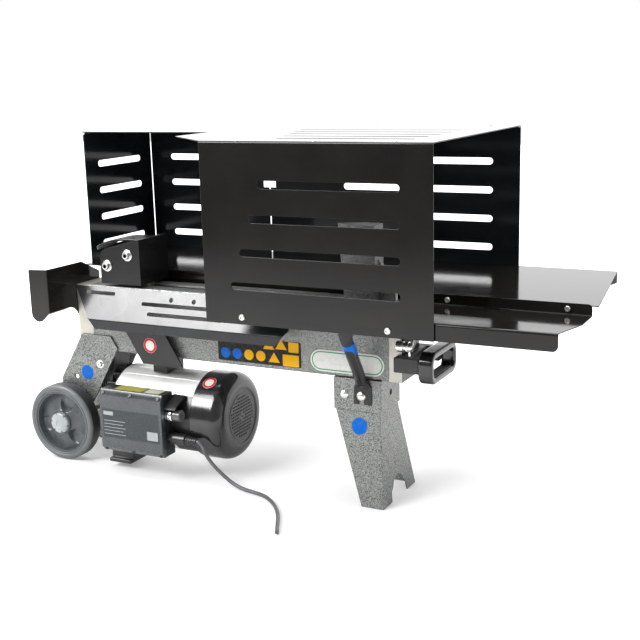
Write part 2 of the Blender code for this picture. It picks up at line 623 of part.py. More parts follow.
def build_pump(rotor_body, idler_body):
    idler_z = MOTOR_Z + GEAR_CENTRES
    low, waist, neck, high = MOTOR_Z - 36, MOTOR_Z + 58, MOTOR_Z + 76, BEAM_Z[0] - GAP
    shell = [(-36, low), (36, low), (36, waist), (24, neck), (24, high), (-24, high), (-24, neck),
             (-36, waist)]
    housing = add_piece("pump_housing", prism("x", shell, PUMP_X), "cast_alloy")
    cavity = arc((0, idler_z), 18.2, 0, 180, 14) + arc((0, MOTOR_Z), 18.2, 180, 360, 14)
    cut(housing, prism("x", cavity, (PUMP_X[0] + 8, PUMP_X[1] + 5)), "gear_chamber")

    span = (PUMP_X[0] + 9, PUMP_X[1] - 2)
    drive = gear_outline((0, MOTOR_Z), GEAR_TEETH, 2.5, 0.0)
    bore = circle((0, MOTOR_Z), SHAFT_R + GAP, 24)
    add_piece("pump_drive_gear", prism("x", drive, span, [bore]), "ground_steel", rotor_body)
    driven = gear_outline((0, idler_z), GEAR_TEETH, 2.5, math.pi / GEAR_TEETH)
    add_piece("pump_driven_gear", prism("x", driven, span, [circle((0, idler_z), 5.0, 16)]),
              "ground_steel", idler_body)


def build_saddle():
    """Black bracket that hugs the underside of the beam and carries the motor; its ends lean."""
    half, low, high = 58.0, 224.0, 296.0
    inner = BEAM_HALF + GAP
    profile = [(-half, low), (half, low), (half, high), (inner, high), (inner, BEAM_Z[0] - GAP),
               (-inner, BEAM_Z[0] - GAP), (-inner, high), (-half, high)]
    saddle = add_piece("motor_saddle", prism("x", profile, (-256, -106)), "black_steel")
    across = (-half - BEYOND, half + BEYOND)
    cut(saddle, prism("y", [(-262, 218), (-204.8, 218), (-254, 300), (-262, 300)], across), "left_lean")
    cut(saddle, prism("y", [(-100, 218), (-106.8, 218), (-156, 300), (-100, 300)], across), "right_lean")
    cut(saddle, box((-166, -100), (-54, half + BEYOND), (low - BEYOND, high + BEYOND)), "open_side")
    pad = prism("x", rectangle((-30, 30), (MOTOR_Z + MOTOR_R - 2, low + 3)), (-203, -168))
    weld(saddle, pad, "motor_pad")
    cut(saddle, rod("x", (0, 0, MOTOR_Z), MOTOR_R + GAP, (-300, -100), 40), "motor_seat")


def build_switch_box(button_body):
    by, bz = BUTTON_YZ
    gy, gz = GLAND_YZ
    body = add_piece("switch_box", box(BOX_X, BOX_Y, BOX_Z), "black_plastic")
    wall = 4.0
    cut(body, rod("x", (0, 0, MOTOR_Z), MOTOR_R + GAP, (-300, -100), 40), "motor_seat")
    back = -MOTOR_R - wall - 1
    inside = box((BOX_X[0] + wall, BOX_X[1] - wall), (BOX_Y[0] - BEYOND, back),
                 (BOX_Z[0] + wall, BOX_Z[1] - wall))
    cut(body, inside, "hollow")
    cut(body, rod("x", (BOX_X[1], by, bz), 6.5, (-10, 10)), "button_hole")
    cut(body, rod("x", (BOX_X[1], gy, gz), 5.0, (-10, 10)), "cable_hole")

    y0 = BOX_Y[0] - GAP
    lid_block = box((BOX_X[0] - 1, BOX_X[1] + 1), (y0 - LID_T, y0), (BOX_Z[0] - 1, BOX_Z[1] + 1))
    lid = add_piece("switch_box_lid", lid_block, "grey_plastic")
    cut(lid, wedge_strip(y0 - LID_T, BOX_Z[1] + 1, 1), "top_bevel")
    cut(lid, wedge_strip(y0 - LID_T, BOX_Z[0] - 1, -1), "bottom_bevel")

    ring = [(GAP, 12.2), (15, 12.2), (16, 13), (16, 13.6), (12, 14.4), (1.3, 14.4), (1.3, 13.5),
            (GAP, 13.5)]
    add_piece("button_bezel", turned("x", (BOX_X[1], by, bz), ring, 28), "ground_steel", smooth=35)
    cap = [(-8, 0), (33, 0), (34, 4), (33.4, 9.8), (31, 11.8), (8, 11.8), (8, 5), (-8, 5)]
    add_piece("push_button", turned("x", (BOX_X[1], by, bz), cap, 24), "black_plastic",
              button_body, smooth=50)

    gland = [(GAP, 4.2), (66, 4.2), (66, 6), (54, 8.5), (42, 8.5), (42, 11.5), (3, 11.5), (3, 13),
             (GAP, 13)]
    add_piece("cable_gland", turned("x", (BOX_X[1], gy, gz), gland, 20), "black_plastic", smooth=35)
    path = smooth_path([(BOX_X[1] - 12, gy, gz), (BOX_X[1] + 26, gy, gz), (BOX_X[1] + 48, gy, gz),
                        (BOX_X[1] + 64, gy, gz), (-56, -97, 87), (-49, -96, 79), (-43, -95, 64), (-31, -93, 46), (-10, -92, 27), (16, -93, 11),
                        (44, -99, 5.2), (104, -118, 5.2), (157, -170, 5.2), (204, -256, 5.2)], 3)
    radii = [3.7] * len(path)
    add_piece("power_cable", tube_along(path, radii, radii, (0, 1, 0.3), 8), "grey_plastic", smooth=50)


def wedge_strip(y, z, sign):
    """Cutter for the sloping upper or lower edge of the lid."""
    outline = [(y - 1, z + sign), (y + 7, z + sign), (y - 1, z - sign * 14)]
    return prism("x", outline, (BOX_X[0] - 5, BOX_X[1] + 5))


def build_foot():
    """Moulded foot under the motor and the switch box."""
    low, flange = 11.5, 19.5
    profile = [(-84, low), (-8, low), (-8, flange), (-18, flange), (-18, 62), (-70, 62), (-74, flange),
               (-84, flange)]
    foot = add_piece("motor_foot", prism("x", profile, (-290, -236)), "black_plastic")
    cut(foot, rod("x", (0, 0, MOTOR_Z), MOTOR_R + GAP, (-300, -100), 40), "motor_seat")
    beside_box = box((-300, -200), (BOX_Y[0] - 15, BOX_Y[1] + GAP), (BOX_Z[0] - 1.3, BOX_Z[1]))
    cut(foot, beside_box, "box_clearance")


# ---------------------------------------------------------------- wheels, leg, handle

def build_wheel(label, sign, body):
    """Tyre, dished hub and pressed-on cap; sign is -1 on the operator's side."""
    y = sign * WHEEL_Y
    half = WHEEL_W / 2
    tyre = [(-half + 3, 65.5), (half - 3, 65.5), (half, 68), (half, 75), (half - 5, WHEEL_R),
            (-half + 5, WHEEL_R), (-half, 75), (-half, 68)]
    add_piece(f"tyre_{label}", turned("y", (WHEEL_X, y, WHEEL_R), tyre, 32), "tyre_rubber", body, smooth=35)
    rim = half - 3
    hub = [(-14, AXLE_R + GAP), (-14, 16), (-6, 18), (-6, 58), (-rim, 61), (-rim, 65.2), (rim, 65.2),
           (rim, 62), (1, 60), (1, 50), (8, 26), (17, 24), (17, AXLE_R + GAP)]
    hub = [(sign * a, r) for a, r in hub]
    add_piece(f"hub_{label}", turned("y", (WHEEL_X, y, WHEEL_R), hub, 32), "hub_plastic", body, smooth=35)
    cap = [(17 + GAP, 0), (25, 0), (24, 14), (20, 21.5), (17 + GAP, 22)]
    cap = [(sign * a, r) for a, r in cap]
    add_piece(f"hub_cap_{label}", turned("y", (WHEEL_X, y, WHEEL_R), cap, 24), "cap_plastic",
              body, smooth=35)


def build_wheel_plates():
    """Two side plates that drop from the beam's end to the axle."""
    outline = [(-369, 271), (-295, 271), (-279, 246), (-341, 140), (-390, 66)]
    outline += arc((WHEEL_X, WHEEL_R), 24, -50, -190, 6)
    outline += [(-430, 170)]
    axle_hole = circle((WHEEL_X, WHEEL_R), AXLE_R + GAP, 16)
    small_hole = circle((-390, 176), 5.0, 12)
    inner, outer = BEAM_HALF + GAP, BEAM_HALF + GAP + 4
    for label, y in (("near", (-outer, -inner)), ("far", (inner, outer))):
        add_piece(f"wheel_plate_{label}", prism("y", outline, y, [axle_hole, small_hole]), "hammered_grey")
    reach = WHEEL_Y + 17.0 - GAP
    add_piece("axle", rod("y", (WHEEL_X, 0, WHEEL_R), AXLE_R, (-reach, reach), 20), "bare_steel", smooth=35)


def channel(z, x0, x1, half, thickness=3.0):
    """Section of a bent channel, open towards -X, at height z."""
    t = thickness
    return [(x0, -half, z), (x1, -half, z), (x1, half, z), (x0, half, z),
            (x0, half - t, z), (x1 - t, half - t, z), (x1 - t, -half + t, z), (x0, -half + t, z)]


def build_leg():
    x0, x1 = LEG_X
    inner = BEAM_HALF - GAP
    plate = 3.0
    low = LEG_BEND_Z + 2
    shell = box((x0, x1 + plate), (-BEAM_HALF - plate, BEAM_HALF + plate), (low, BEAM_Z[0] - GAP))
    bracket = add_piece("leg_bracket", shell, "hammered_grey")
    inside = box((x0 - BEYOND, x1 + 0.2), (-BEAM_HALF, BEAM_HALF), (low - BEYOND, BEAM_Z[0] - 3.5))
    cut(bracket, inside, "hollow")
    upper = (x0 + 2, x1 - GAP, inner)
    leg_rings = [channel(0.0, *LEG_FOOT_X, LEG_FOOT_HALF), channel(LEG_BEND_Z, *upper),
                 channel(LEG_TOP, *upper)]
    leg = add_piece("leg", loft(leg_rings), "hammered_grey")
    arch = [(-38, -5), (38, -5), (34, 20)] + arc((0, 16), 28, 20, 160, 8) + [(-34, 20)]
    cut(leg, prism("x", arch, (300, 340)), "arch")
    for x, z in LEG_BOLTS:
        cut(bracket, rod("y", (x, 0, z), 5.2, (-60, 60), 16), f"bolt_hole_{int(x)}")
        cut(leg, rod("y", (x, 0, z), 5.2, (-60, 60), 16), f"bolt_hole_{int(x)}")
    cut(bracket, rod("x", (x1, 0, 206), 6.0, (-12, 12), 16), "web_hole")
    cut(leg, rod("x", (x1, 0, 206), 6.0, (-12, 12), 16), "web_hole")

    stacks = (("leg_bolt_inner", LEG_BOLTS[0], 0.0), ("leg_bolt_outer", LEG_BOLTS[1], TAB_T + GAP))
    for name, (x, z), stack in stacks:
        far = BEAM_HALF + plate + GAP
        near = far + stack
        profile = [(-near - 5, 0), (far + 5, 0), (far + 5, 5), (far + 3.5, 8), (far, 8), (far, 4.8),
                   (-near, 4.8), (-near, 9), (-near - 3, 8), (-near - 5, 4.5)]
        add_piece(name, turned("y", (x, 0, z), profile, 20), "zinc_fastener", smooth=35)


def build_strut():
    """Tube from the leg bolt up to the table's front fold, flattened at both ends."""
    y_tab = -BEAM_HALF - 3 - GAP - TAB_T / 2
    y_top = FRONT_Y + 7.8
    bolt_x, bolt_z = LEG_BOLTS[1]
    top_x, top_z = STRUT_BOLT
    path = [Vector(point) for point in (
        (bolt_x + 2, y_tab, 190), (bolt_x + 3, y_tab, 224), (bolt_x + 3.5, y_tab - 8, 238),
        (top_x - 2, y_top + 11, 330), (top_x - 0.5, y_top, 349), (top_x, y_top, 370))]
    flat, round_r = 18.0, 11.0
    widths = [flat, flat, round_r, round_r, 14.0, 14.0]
    heights = [TAB_T / 2, TAB_T / 2, round_r, round_r, 1.3, 1.3]
    strut = add_piece("table_strut", strut_skin(path, widths, heights), "black_steel", smooth=40)
    open_slot = box((bolt_x - 5.3, bolt_x + 5.3), (y_tab - 6, y_tab + 6), (180, bolt_z + 5))
    cut(strut, open_slot, "open_slot")
    cut(strut, rod("y", (top_x, y_top, top_z), 3.6, (-8, 8), 10), "bolt_hole")


def strut_skin(path, widths, heights):
    """Rings in planes across each stretch, squared off where the tube is flattened."""
    sections = []
    for i, point in enumerate(path):
        ahead = path[min(i + 1, len(path) - 1)] - path[max(i - 1, 0)]
        if i in (0, 1, len(path) - 2, len(path) - 1):
            ahead = Vector((0, 0, 1))
        across = Vector((1, 0, 0))
        out = ahead.cross(across).normalized()
        squareness = 0.35 if heights[i] < 3 else 1.0
        ring = []
        for j in range(16):
            angle = 2 * math.pi * (j + 0.5) / 16
            c, s = math.cos(angle), math.sin(angle)
            u = math.copysign(abs(c) ** squareness, c)
            v = math.copysign(abs(s) ** squareness, s)
            ring.append(point + across * widths[i] * u + out * heights[i] * v)
        sections.append(ring)
    return loft(sections)


def build_handle():
    """Clamp on the end block and the moulded grip loop that it holds."""
    inner, outer = BEAM_HALF + GAP, BEAM_HALF + 17
    back, face, end = END_BLOCK_X[1] - 10, END_BLOCK_X[1] + GAP, 396.0
    plan = [(back, -outer), (end, -outer), (end, -inner), (face + 15, -inner), (face + 15, inner),
            (end, inner), (end, outer), (back, outer), (back, inner), (face, inner), (face, -inner),
            (back, -inner)]
    add_piece("handle_bracket", prism("z", plan, (262, 290)), "black_plastic")

    hole = rounded_rectangle((-53, 53), (257, 290), 13)
    outside = rounded_rectangle((-66, 66), (243, 303), 22)
    loop = prism("x", outside, (end + GAP, 424), [hole])
    grip = add_piece("carry_handle", loop, "black_plastic", smooth=40)
    round_edges(grip, 3.0, 2)


# ---------------------------------------------------------------- assembly

def build():
    clear_scene()
    ram = assembly("ram_axis", (0, 0, CYL_Z))
    spool = assembly("spool_axis", (VALVE_X[0], SPOOL_Y, SPOOL_Z))
    lever = assembly("lever_axis", LEVER_PIVOT)
    rotor = assembly("rotor_axis", (0, 0, MOTOR_Z))
    idler = assembly("idler_axis", (0, 0, MOTOR_Z + GEAR_CENTRES))
    button = assembly("button_axis", (BOX_X[1], *BUTTON_YZ))
    wheels = {label: assembly(f"wheel_axis_{label}", (WHEEL_X, sign * WHEEL_Y, WHEEL_R))
              for label, sign in (("near", -1), ("far", 1))}

    build_beam()
    build_cylinder(ram)
    build_pusher(ram)
    build_wedge()
    build_valve(spool, lever)
    build_lever_guard()
    build_hood()
    build_panels()
    build_tables()
    build_trough()
    build_motor(rotor)
    build_fan_cover()
    build_pump(rotor, idler)
    build_saddle()
    build_switch_box(button)
    build_foot()
    build_wheel("near", -1, wheels["near"])
    build_wheel("far", 1, wheels["far"])
    build_wheel_plates()
    build_leg()
    build_strut()
    build_handle()


build()
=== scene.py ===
"""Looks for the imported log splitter: fine meshes and procedural materials around the CAD.

Meshes are made in millimetres, measured from the ground under the beam's centre line, with
+X towards the wedge end and -Y towards the operator; add_piece takes them to the frame.
"""
import json
import math

import bmesh
import bpy
from mathutils import Matrix, Vector

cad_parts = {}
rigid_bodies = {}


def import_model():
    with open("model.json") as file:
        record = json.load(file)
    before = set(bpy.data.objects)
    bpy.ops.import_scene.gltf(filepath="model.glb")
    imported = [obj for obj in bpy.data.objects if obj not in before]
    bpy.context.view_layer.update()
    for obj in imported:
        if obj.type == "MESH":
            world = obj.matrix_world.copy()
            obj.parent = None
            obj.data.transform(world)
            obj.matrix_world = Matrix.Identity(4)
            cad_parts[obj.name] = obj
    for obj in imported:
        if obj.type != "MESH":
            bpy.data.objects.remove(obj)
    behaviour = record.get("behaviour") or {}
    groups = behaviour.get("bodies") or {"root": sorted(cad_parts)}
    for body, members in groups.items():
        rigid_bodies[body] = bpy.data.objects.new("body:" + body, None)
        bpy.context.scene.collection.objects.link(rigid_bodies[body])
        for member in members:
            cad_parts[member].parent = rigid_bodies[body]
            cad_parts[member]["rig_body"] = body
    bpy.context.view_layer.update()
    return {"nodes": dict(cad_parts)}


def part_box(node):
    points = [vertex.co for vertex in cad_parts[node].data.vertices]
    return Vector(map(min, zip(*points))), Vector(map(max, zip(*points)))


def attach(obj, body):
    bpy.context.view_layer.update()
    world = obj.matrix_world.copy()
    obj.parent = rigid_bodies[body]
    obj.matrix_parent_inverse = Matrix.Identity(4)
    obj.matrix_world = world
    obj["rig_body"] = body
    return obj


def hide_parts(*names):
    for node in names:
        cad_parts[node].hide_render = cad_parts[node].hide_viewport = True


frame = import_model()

MM = 0.001
BEAM_LOW = Vector((-340.0, -43.0, 238.0))
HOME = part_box("beam")[0] - BEAM_LOW * MM        # under the beam's centre line, in the frame
SHEET = 2.0
EDGE = 0.5                                      # usual rounding of a cut sheet edge


def limits(node):
    """Low and high corner of a CAD node, in this script's millimetres."""
    low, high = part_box(node)
    return (low - HOME) / MM, (high - HOME) / MM


def middle(node):
    low, high = limits(node)
    return (low + high) / 2


# ---------------------------------------------------------------- materials

class Finish:
    """A Principled material whose colour, roughness and bump come from procedural nodes."""

    def __init__(self, name, metallic=0.0, coat=0.0, gloss=0.5):
        self.material = bpy.data.materials.new(name)
        self.material.use_nodes = True
        self.tree = self.material.node_tree
        self.shader = self.tree.nodes["Principled BSDF"]
        self.shader.inputs["Metallic"].default_value = metallic
        self.shader.inputs["Coat Weight"].default_value = coat
        self.shader.inputs["Coat Roughness"].default_value = 0.06
        self.shader.inputs["Specular IOR Level"].default_value = gloss
        self.place = self.tree.nodes.new("ShaderNodeTexCoord").outputs["Object"]

    def node(self, kind, **settings):
        made = self.tree.nodes.new(kind)
        for key, value in settings.items():
            setattr(made, key, value)
        return made

    def link(self, out, into):
        self.tree.links.new(out, into)

    def noise(self, scale, detail=3.0, stretch=None):
        """Noise on object coordinates; stretch squeezes the pattern along each axis."""
        place = self.place
        if stretch:
            mapping = self.node("ShaderNodeMapping")
            mapping.inputs["Scale"].default_value = stretch
            self.link(place, mapping.inputs["Vector"])
            place = mapping.outputs["Vector"]
        noise = self.node("ShaderNodeTexNoise")
        noise.inputs["Scale"].default_value = scale
        noise.inputs["Detail"].default_value = detail
        self.link(place, noise.inputs["Vector"])
        return noise.outputs["Fac"]

    def cells(self, scale):
        cells = self.node("ShaderNodeTexVoronoi", feature="SMOOTH_F1")
        cells.inputs["Scale"].default_value = scale
        self.link(self.place, cells.inputs["Vector"])
        return cells.outputs["Distance"]

    def ramp(self, value, low, high, to_low=0.0, to_high=1.0):
        """Value taken from the range low..high to to_low..to_high, clamped."""
        span = self.node("ShaderNodeMapRange")
        for key, number in (("From Min", low), ("From Max", high), ("To Min", to_low), ("To Max", to_high)):
            span.inputs[key].default_value = number
        self.link(value, span.inputs["Value"])
        return span.outputs["Result"]

    def blend(self, value, first, second):
        """Colour mixed from first to second as value goes from 0 to 1; either may be a socket."""
        mix = self.node("ShaderNodeMix", data_type="RGBA")
        self.link(value, mix.inputs["Factor"])
        for colour, socket in ((first, mix.inputs[6]), (second, mix.inputs[7])):
            if isinstance(colour, tuple):
                socket.default_value = (*colour, 1.0)
            else:
                self.link(colour, socket)
        return mix.outputs[2]

    def colour(self, value):
        self.link(value, self.shader.inputs["Base Color"])
        return self

    def rough(self, value, low, high):
        """Roughness from low to high as a noise goes over its middle range."""
        self.link(self.ramp(value, 0.3, 0.7, low, high), self.shader.inputs["Roughness"])
        return self

    def bump(self, value, depth_mm, strength=1.0):
        bump = self.node("ShaderNodeBump")
        bump.inputs["Distance"].default_value = depth_mm * MM
        bump.inputs["Strength"].default_value = strength
        self.link(value, bump.inputs["Height"])
        self.link(bump.outputs["Normal"], self.shader.inputs["Normal"])
        return self


def enamel(name, dark, light, rough, peel=0.02, gloss=0.5):
    """Smooth paint: slow tone changes, faint dust, orange peel."""
    finish = Finish(name, gloss=gloss)
    tone = finish.blend(finish.ramp(finish.noise(9.0), 0.35, 0.65), dark, light)
    dust_tone = tuple(c * 2.2 + 0.02 for c in light)
    dust = finish.ramp(finish.noise(1500.0, 1.0), 0.70, 0.80)
    finish.colour(finish.blend(dust, tone, dust_tone))
    finish.rough(finish.noise(30.0, 5.0), rough * 0.85, rough * 1.25)
    return finish.bump(finish.noise(420.0, 2.0), peel).material


def hammered(name):
    """Hammer-finish enamel: bright dimples a couple of millimetres wide in a dark net."""
    finish = Finish(name, 0.55)
    cells = finish.ramp(finish.cells(560.0), 0.10, 0.62)
    uneven = finish.ramp(finish.noise(240.0, 2.0), 0.25, 0.75)
    bright = finish.blend(uneven, (0.56, 0.575, 0.55), (0.32, 0.335, 0.32))
    finish.colour(finish.blend(cells, bright, (0.075, 0.08, 0.076)))
    finish.rough(cells, 0.26, 0.45)
    return finish.bump(cells, 0.25, 0.8).material


def metal(name, dark, light, rough, grain=(1.0, 1.0, 1.0), scale=300.0, depth=0.03, metallic=1.0):
    """Bare or plated metal: grain stretched along the way it was worked, slow stains."""
    finish = Finish(name, metallic)
    lines = finish.noise(scale, 4.0, grain)
    stain = finish.ramp(finish.noise(24.0, 4.0), 0.3, 0.7)
    finish.colour(finish.blend(stain, dark, light))
    finish.rough(lines, rough * 0.8, rough * 1.3)
    return finish.bump(lines, depth).material


def moulded(name, dark, light, rough, scale=900.0, depth=0.03, coat=0.0):
    """Moulded plastic or rubber: fine even texture, slight tone changes."""
    finish = Finish(name, 0.0, coat)
    slow = finish.ramp(finish.noise(35.0, 4.0), 0.3, 0.7)
    finish.colour(finish.blend(slow, dark, light))
    finish.rough(finish.noise(80.0, 4.0), rough * 0.85, rough * 1.2)
    return finish.bump(finish.noise(scale, 2.0), depth).material


def film(name, tone, rough=0.3):
    """Printed film of a blank sticker: an even tone, slightly worn."""
    finish = Finish(name, gloss=0.12)
    worn = tuple(min(1.0, c * 0.85 + 0.03) for c in tone)
    finish.colour(finish.blend(finish.ramp(finish.noise(160.0, 5.0), 0.45, 0.75), tone, worn))
    finish.rough(finish.noise(60.0), rough, rough * 1.4)
    return finish.bump(finish.noise(700.0, 2.0), 0.01).material


BLACK_SHEET = enamel("black_powder_coat", (0.007, 0.0065, 0.006), (0.011, 0.0105, 0.009), 0.10, 0.006,
                     0.36)
# Painted sheen: a bluish copy of the black powder coat for the rear and left panels; its blue tint stands
# for the sheen on their inner faces.
BLUE_SHEEN_SHEET = enamel("black_powder_coat_blue_sheen", (0.009, 0.0115, 0.0135), (0.013, 0.0165, 0.0195), 0.10,
                    0.006, 0.36)
# Painted shade: a dull copy of the black coat without its gloss, which the far table's faces turned to +X
# take so that its end shows dark.
DULL_END_SHADE = enamel("dull_black_coat_end_shade", (0.030, 0.030, 0.029), (0.045, 0.045, 0.043), 0.75, 0.02, 0.05)
BLACK_STEEL = enamel("satin_black_plate", (0.006, 0.006, 0.006), (0.012, 0.012, 0.011), 0.20, 0.02, 0.4)
# Rougher copy of the black powder coat for the trough; the bluish tint of its colour is a painted sheen.
ROUGH_SHEEN_SHEET = enamel("rough_powder_coat_blue_sheen", (0.008, 0.009, 0.010), (0.016, 0.018, 0.020), 0.20, 0.035, 0.40)
HAMMERED = hammered("hammered_grey")
BARE_STEEL = metal("machined_steel", (0.36, 0.345, 0.31), (0.50, 0.48, 0.44), 0.36, (0.2, 1.0, 3.0))
CAST = metal("cast_alloy", (0.50, 0.48, 0.42), (0.66, 0.64, 0.58), 0.5, scale=700.0, depth=0.12)
DARK_CAST = metal("painted_casting", (0.03, 0.032, 0.034), (0.06, 0.062, 0.062), 0.45, scale=600.0,
                  depth=0.12, metallic=0.2)
ALLOY = metal("extruded_alloy", (0.88, 0.88, 0.86), (0.94, 0.94, 0.92), 0.42, (0.05, 1.0, 1.0), 500.0,
              0.02, metallic=0.45)
ZINC = metal("bright_zinc", (0.66, 0.66, 0.64), (0.84, 0.84, 0.82), 0.26, scale=900.0, depth=0.02)
CHROME = metal("chrome_plate", (0.76, 0.77, 0.78), (0.82, 0.83, 0.84), 0.08, scale=500.0, depth=0.003)
POLISHED = metal("ground_rod", (0.66, 0.66, 0.66), (0.76, 0.76, 0.76), 0.14, (0.1, 3.0, 3.0), depth=0.006)
IRON = metal("laminated_iron", (0.10, 0.09, 0.08), (0.18, 0.16, 0.14), 0.55, (12.0, 0.3, 0.3), depth=0.1)
DARK_SCREW = metal("blackened_screw", (0.02, 0.02, 0.02), (0.045, 0.045, 0.045), 0.32, scale=800.0,
                   metallic=0.6)
GLOSS_PLASTIC = moulded("gloss_black_plastic", (0.010, 0.010, 0.011), (0.016, 0.016, 0.017), 0.16, 500.0,
                        0.01, 0.3)
BLACK_PLASTIC = moulded("satin_black_plastic", (0.012, 0.012, 0.013), (0.022, 0.022, 0.023), 0.34)
GREY_PLASTIC = moulded("grey_lid_plastic", (0.034, 0.041, 0.045), (0.048, 0.055, 0.060), 0.26, 1300.0,
                       0.02, 0.4)
BUTTON_PLASTIC = moulded("grey_button_plastic", (0.10, 0.10, 0.095), (0.14, 0.14, 0.135), 0.25, 700.0,
                         0.02)
# Lighter satin copy of the cover's plastic for its end face: the satin roughness is its own, the lighter
# grey a painted reflection of the studio.
COVER_FACE_SHEEN = moulded("satin_cover_face_painted_sheen", (0.045, 0.050, 0.047), (0.065, 0.070, 0.066), 0.42)
TYRE = moulded("tyre_rubber", (0.028, 0.031, 0.031), (0.042, 0.046, 0.046), 0.48, 1000.0, 0.06)
SIDEWALL = moulded("tyre_sidewall", (0.105, 0.114, 0.116), (0.145, 0.155, 0.158), 0.45, 1000.0, 0.05)
CABLE = moulded("cable_sheath", (0.085, 0.090, 0.092), (0.13, 0.135, 0.14), 0.4, 700.0, 0.04)
HUB = moulded("hub_plastic", (0.060, 0.070, 0.076), (0.095, 0.105, 0.112), 0.30, 900.0, 0.03)
CAP = moulded("cap_plastic", (0.34, 0.37, 0.38), (0.44, 0.47, 0.48), 0.36, 700.0, 0.05)
BLUE = film("blue_film", (0.0, 0.13, 0.58))
YELLOW = film("yellow_film", (0.86, 0.44, 0.0))
RED = film("red_film", (0.66, 0.008, 0.010))
WHITE = film("white_film", (0.80, 0.81, 0.78))
GREEN = film("green_film", (0.03, 0.32, 0.11))
BLACK = film("black_film", (0.018, 0.018, 0.016))
PALE_YELLOW = film("pale_yellow_film", (0.40, 0.36, 0.06))
CREAM = film("cream_film", (0.55, 0.53, 0.40))
LABEL_GREY = film("grey_label_film", (0.060, 0.066, 0.070), 0.4)
LABEL_LINE = film("pale_line_film", (0.40, 0.42, 0.43), 0.4)


# The record's slot of each finish; sheet finishes and stickers have no entry in it.
SLOTS = {
    "black_steel": (BLACK_STEEL,),
    "hammered_paint": (HAMMERED,),
    "bare_steel": (BARE_STEEL,),
    "cast_alloy": (CAST, DARK_CAST),
    "motor_alloy": (ALLOY,),
    "zinc": (ZINC, DARK_SCREW),
    "chrome": (CHROME,),
    "black_plastic": (GLOSS_PLASTIC, BLACK_PLASTIC, BUTTON_PLASTIC),
    "grey_plastic": (GREY_PLASTIC,),
    "tyre_rubber": (TYRE,),
    "cable_rubber": (CABLE,),
    "hub_plastic": (HUB,),
    "cap_plastic": (CAP,),
}
SLOT_OF = {finish.name: slot for slot, finishes in SLOTS.items() for finish in finishes}


# ---------------------------------------------------------------- outlines

PLACE = {
    "x": lambda u, v, w: (w, u, v),
    "y": lambda u, v, w: (u, w, v),
    "z": lambda u, v, w: (u, v, w),
}
ACROSS = {"x": (1, 2, 0), "y": (0, 2, 1), "z": (0, 1, 2)}     # where u, v and w are in x, y, z


def rectangle(u, v):
    return [(u[0], v[0]), (u[1], v[0]), (u[1], v[1]), (u[0], v[1])]


def arc(centre, radius, start, end, steps=10):
    angles = [math.radians(start + (end - start) * i / steps) for i in range(steps + 1)]
    return [(centre[0] + radius * math.cos(a), centre[1] + radius * math.sin(a)) for a in angles]


def hexagon(radius, angle):
    """Distance from a hexagon's middle to its side at this angle; its corners are at radius."""
    return radius * math.cos(math.pi / 6) / math.cos(angle % (math.pi / 3) - math.pi / 6)


def circle(centre, radius, steps=32):
    return arc(centre, radius, 0, 360, steps)[:-1]


def rounded_rectangle(u, v, radius, steps=8):
    points = []
    for cu, cv, start in ((u[1], v[1], 0), (u[0], v[1], 90), (u[0], v[0], 180), (u[1], v[0], 270)):
        centre = (cu - math.copysign(radius, cu - sum(u) / 2),
                  cv - math.copysign(radius, cv - sum(v) / 2))
        points += arc(centre, radius, start, start + 90, steps)
    return points


def slot(u, v, steps=8):
    """A long hole with round ends, running along u."""
    radius, level = (v[1] - v[0]) / 2, (v[0] + v[1]) / 2
    right = arc((u[1] - radius, level), radius, -90, 90, steps)
    return right + arc((u[0] + radius, level), radius, 90, 270, steps)


def fine_opening(loop):
    """The CAD's hole as a smooth outline: a square stays, a long hole is a slot, others round."""
    us, vs = [p[0] for p in loop], [p[1] for p in loop]
    u, v = (min(us), max(us)), (min(vs), max(vs))
    if len(loop) == 4:
        return rectangle(u, v)
    wide, high = u[1] - u[0], v[1] - v[0]
    if abs(wide - high) < 0.5:
        return circle((sum(u) / 2, sum(v) / 2), wide / 2, 24)
    return slot(u, v) if wide > high else [(b, a) for a, b in slot(v, u)]


def sheet_section(path, radius=2.5, thickness=SHEET, steps=5):
    """Cross-section of a folded sheet with round bends; the path is its right-hand side."""
    points = [Vector(p) for p in path]
    right, left = [], []
    for i, here in enumerate(points):
        ahead = (points[min(i + 1, len(points) - 1)] - points[min(i, len(points) - 2)]).normalized()
        normal = Vector((-ahead.y, ahead.x))
        if i in (0, len(points) - 1):
            right.append(here)
            left.append(here + normal * thickness)
            continue
        before = (here - points[i - 1]).normalized()
        turn = math.atan2(before.x * ahead.y - before.y * ahead.x, before.dot(ahead))
        side = math.copysign(1.0, turn)
        bend = radius + (thickness if turn > 0 else 0.0)
        start = here - before * bend * math.tan(abs(turn) / 2)
        centre = start + Vector((-before.y, before.x)) * side * bend
        for k in range(steps + 1):
            spoke = Matrix.Rotation(turn * k / steps, 2) @ (start - centre)
            right.append(centre + spoke)
            left.append(centre + spoke * (bend - side * thickness) / bend)
    return [tuple(p) for p in right + left[::-1]]


# ---------------------------------------------------------------- solids

def prism(normal, outline, span, holes=()):
    """A flat outline, with any holes, extruded along the normal axis over span."""
    mesh = bmesh.new()
    place = PLACE[normal]
    edges = []
    for loop in (outline, *holes):
        ring = [mesh.verts.new(place(u, v, span[0])) for u, v in loop]
        edges += [mesh.edges.new((ring[i - 1], ring[i])) for i in range(len(ring))]
    if holes:
        bmesh.ops.triangle_fill(mesh, use_beauty=True, use_dissolve=False, edges=edges)
    else:
        bmesh.ops.contextual_create(mesh, geom=edges)
    pushed = bmesh.ops.extrude_face_region(mesh, geom=mesh.faces[:], use_keep_orig=True)
    moved = [item for item in pushed["geom"] if isinstance(item, bmesh.types.BMVert)]
    bmesh.ops.translate(mesh, verts=moved, vec=Vector(place(0, 0, span[1] - span[0])))
    return mesh


def box(x, y, z):
    return prism("z", rectangle(x, y), z)


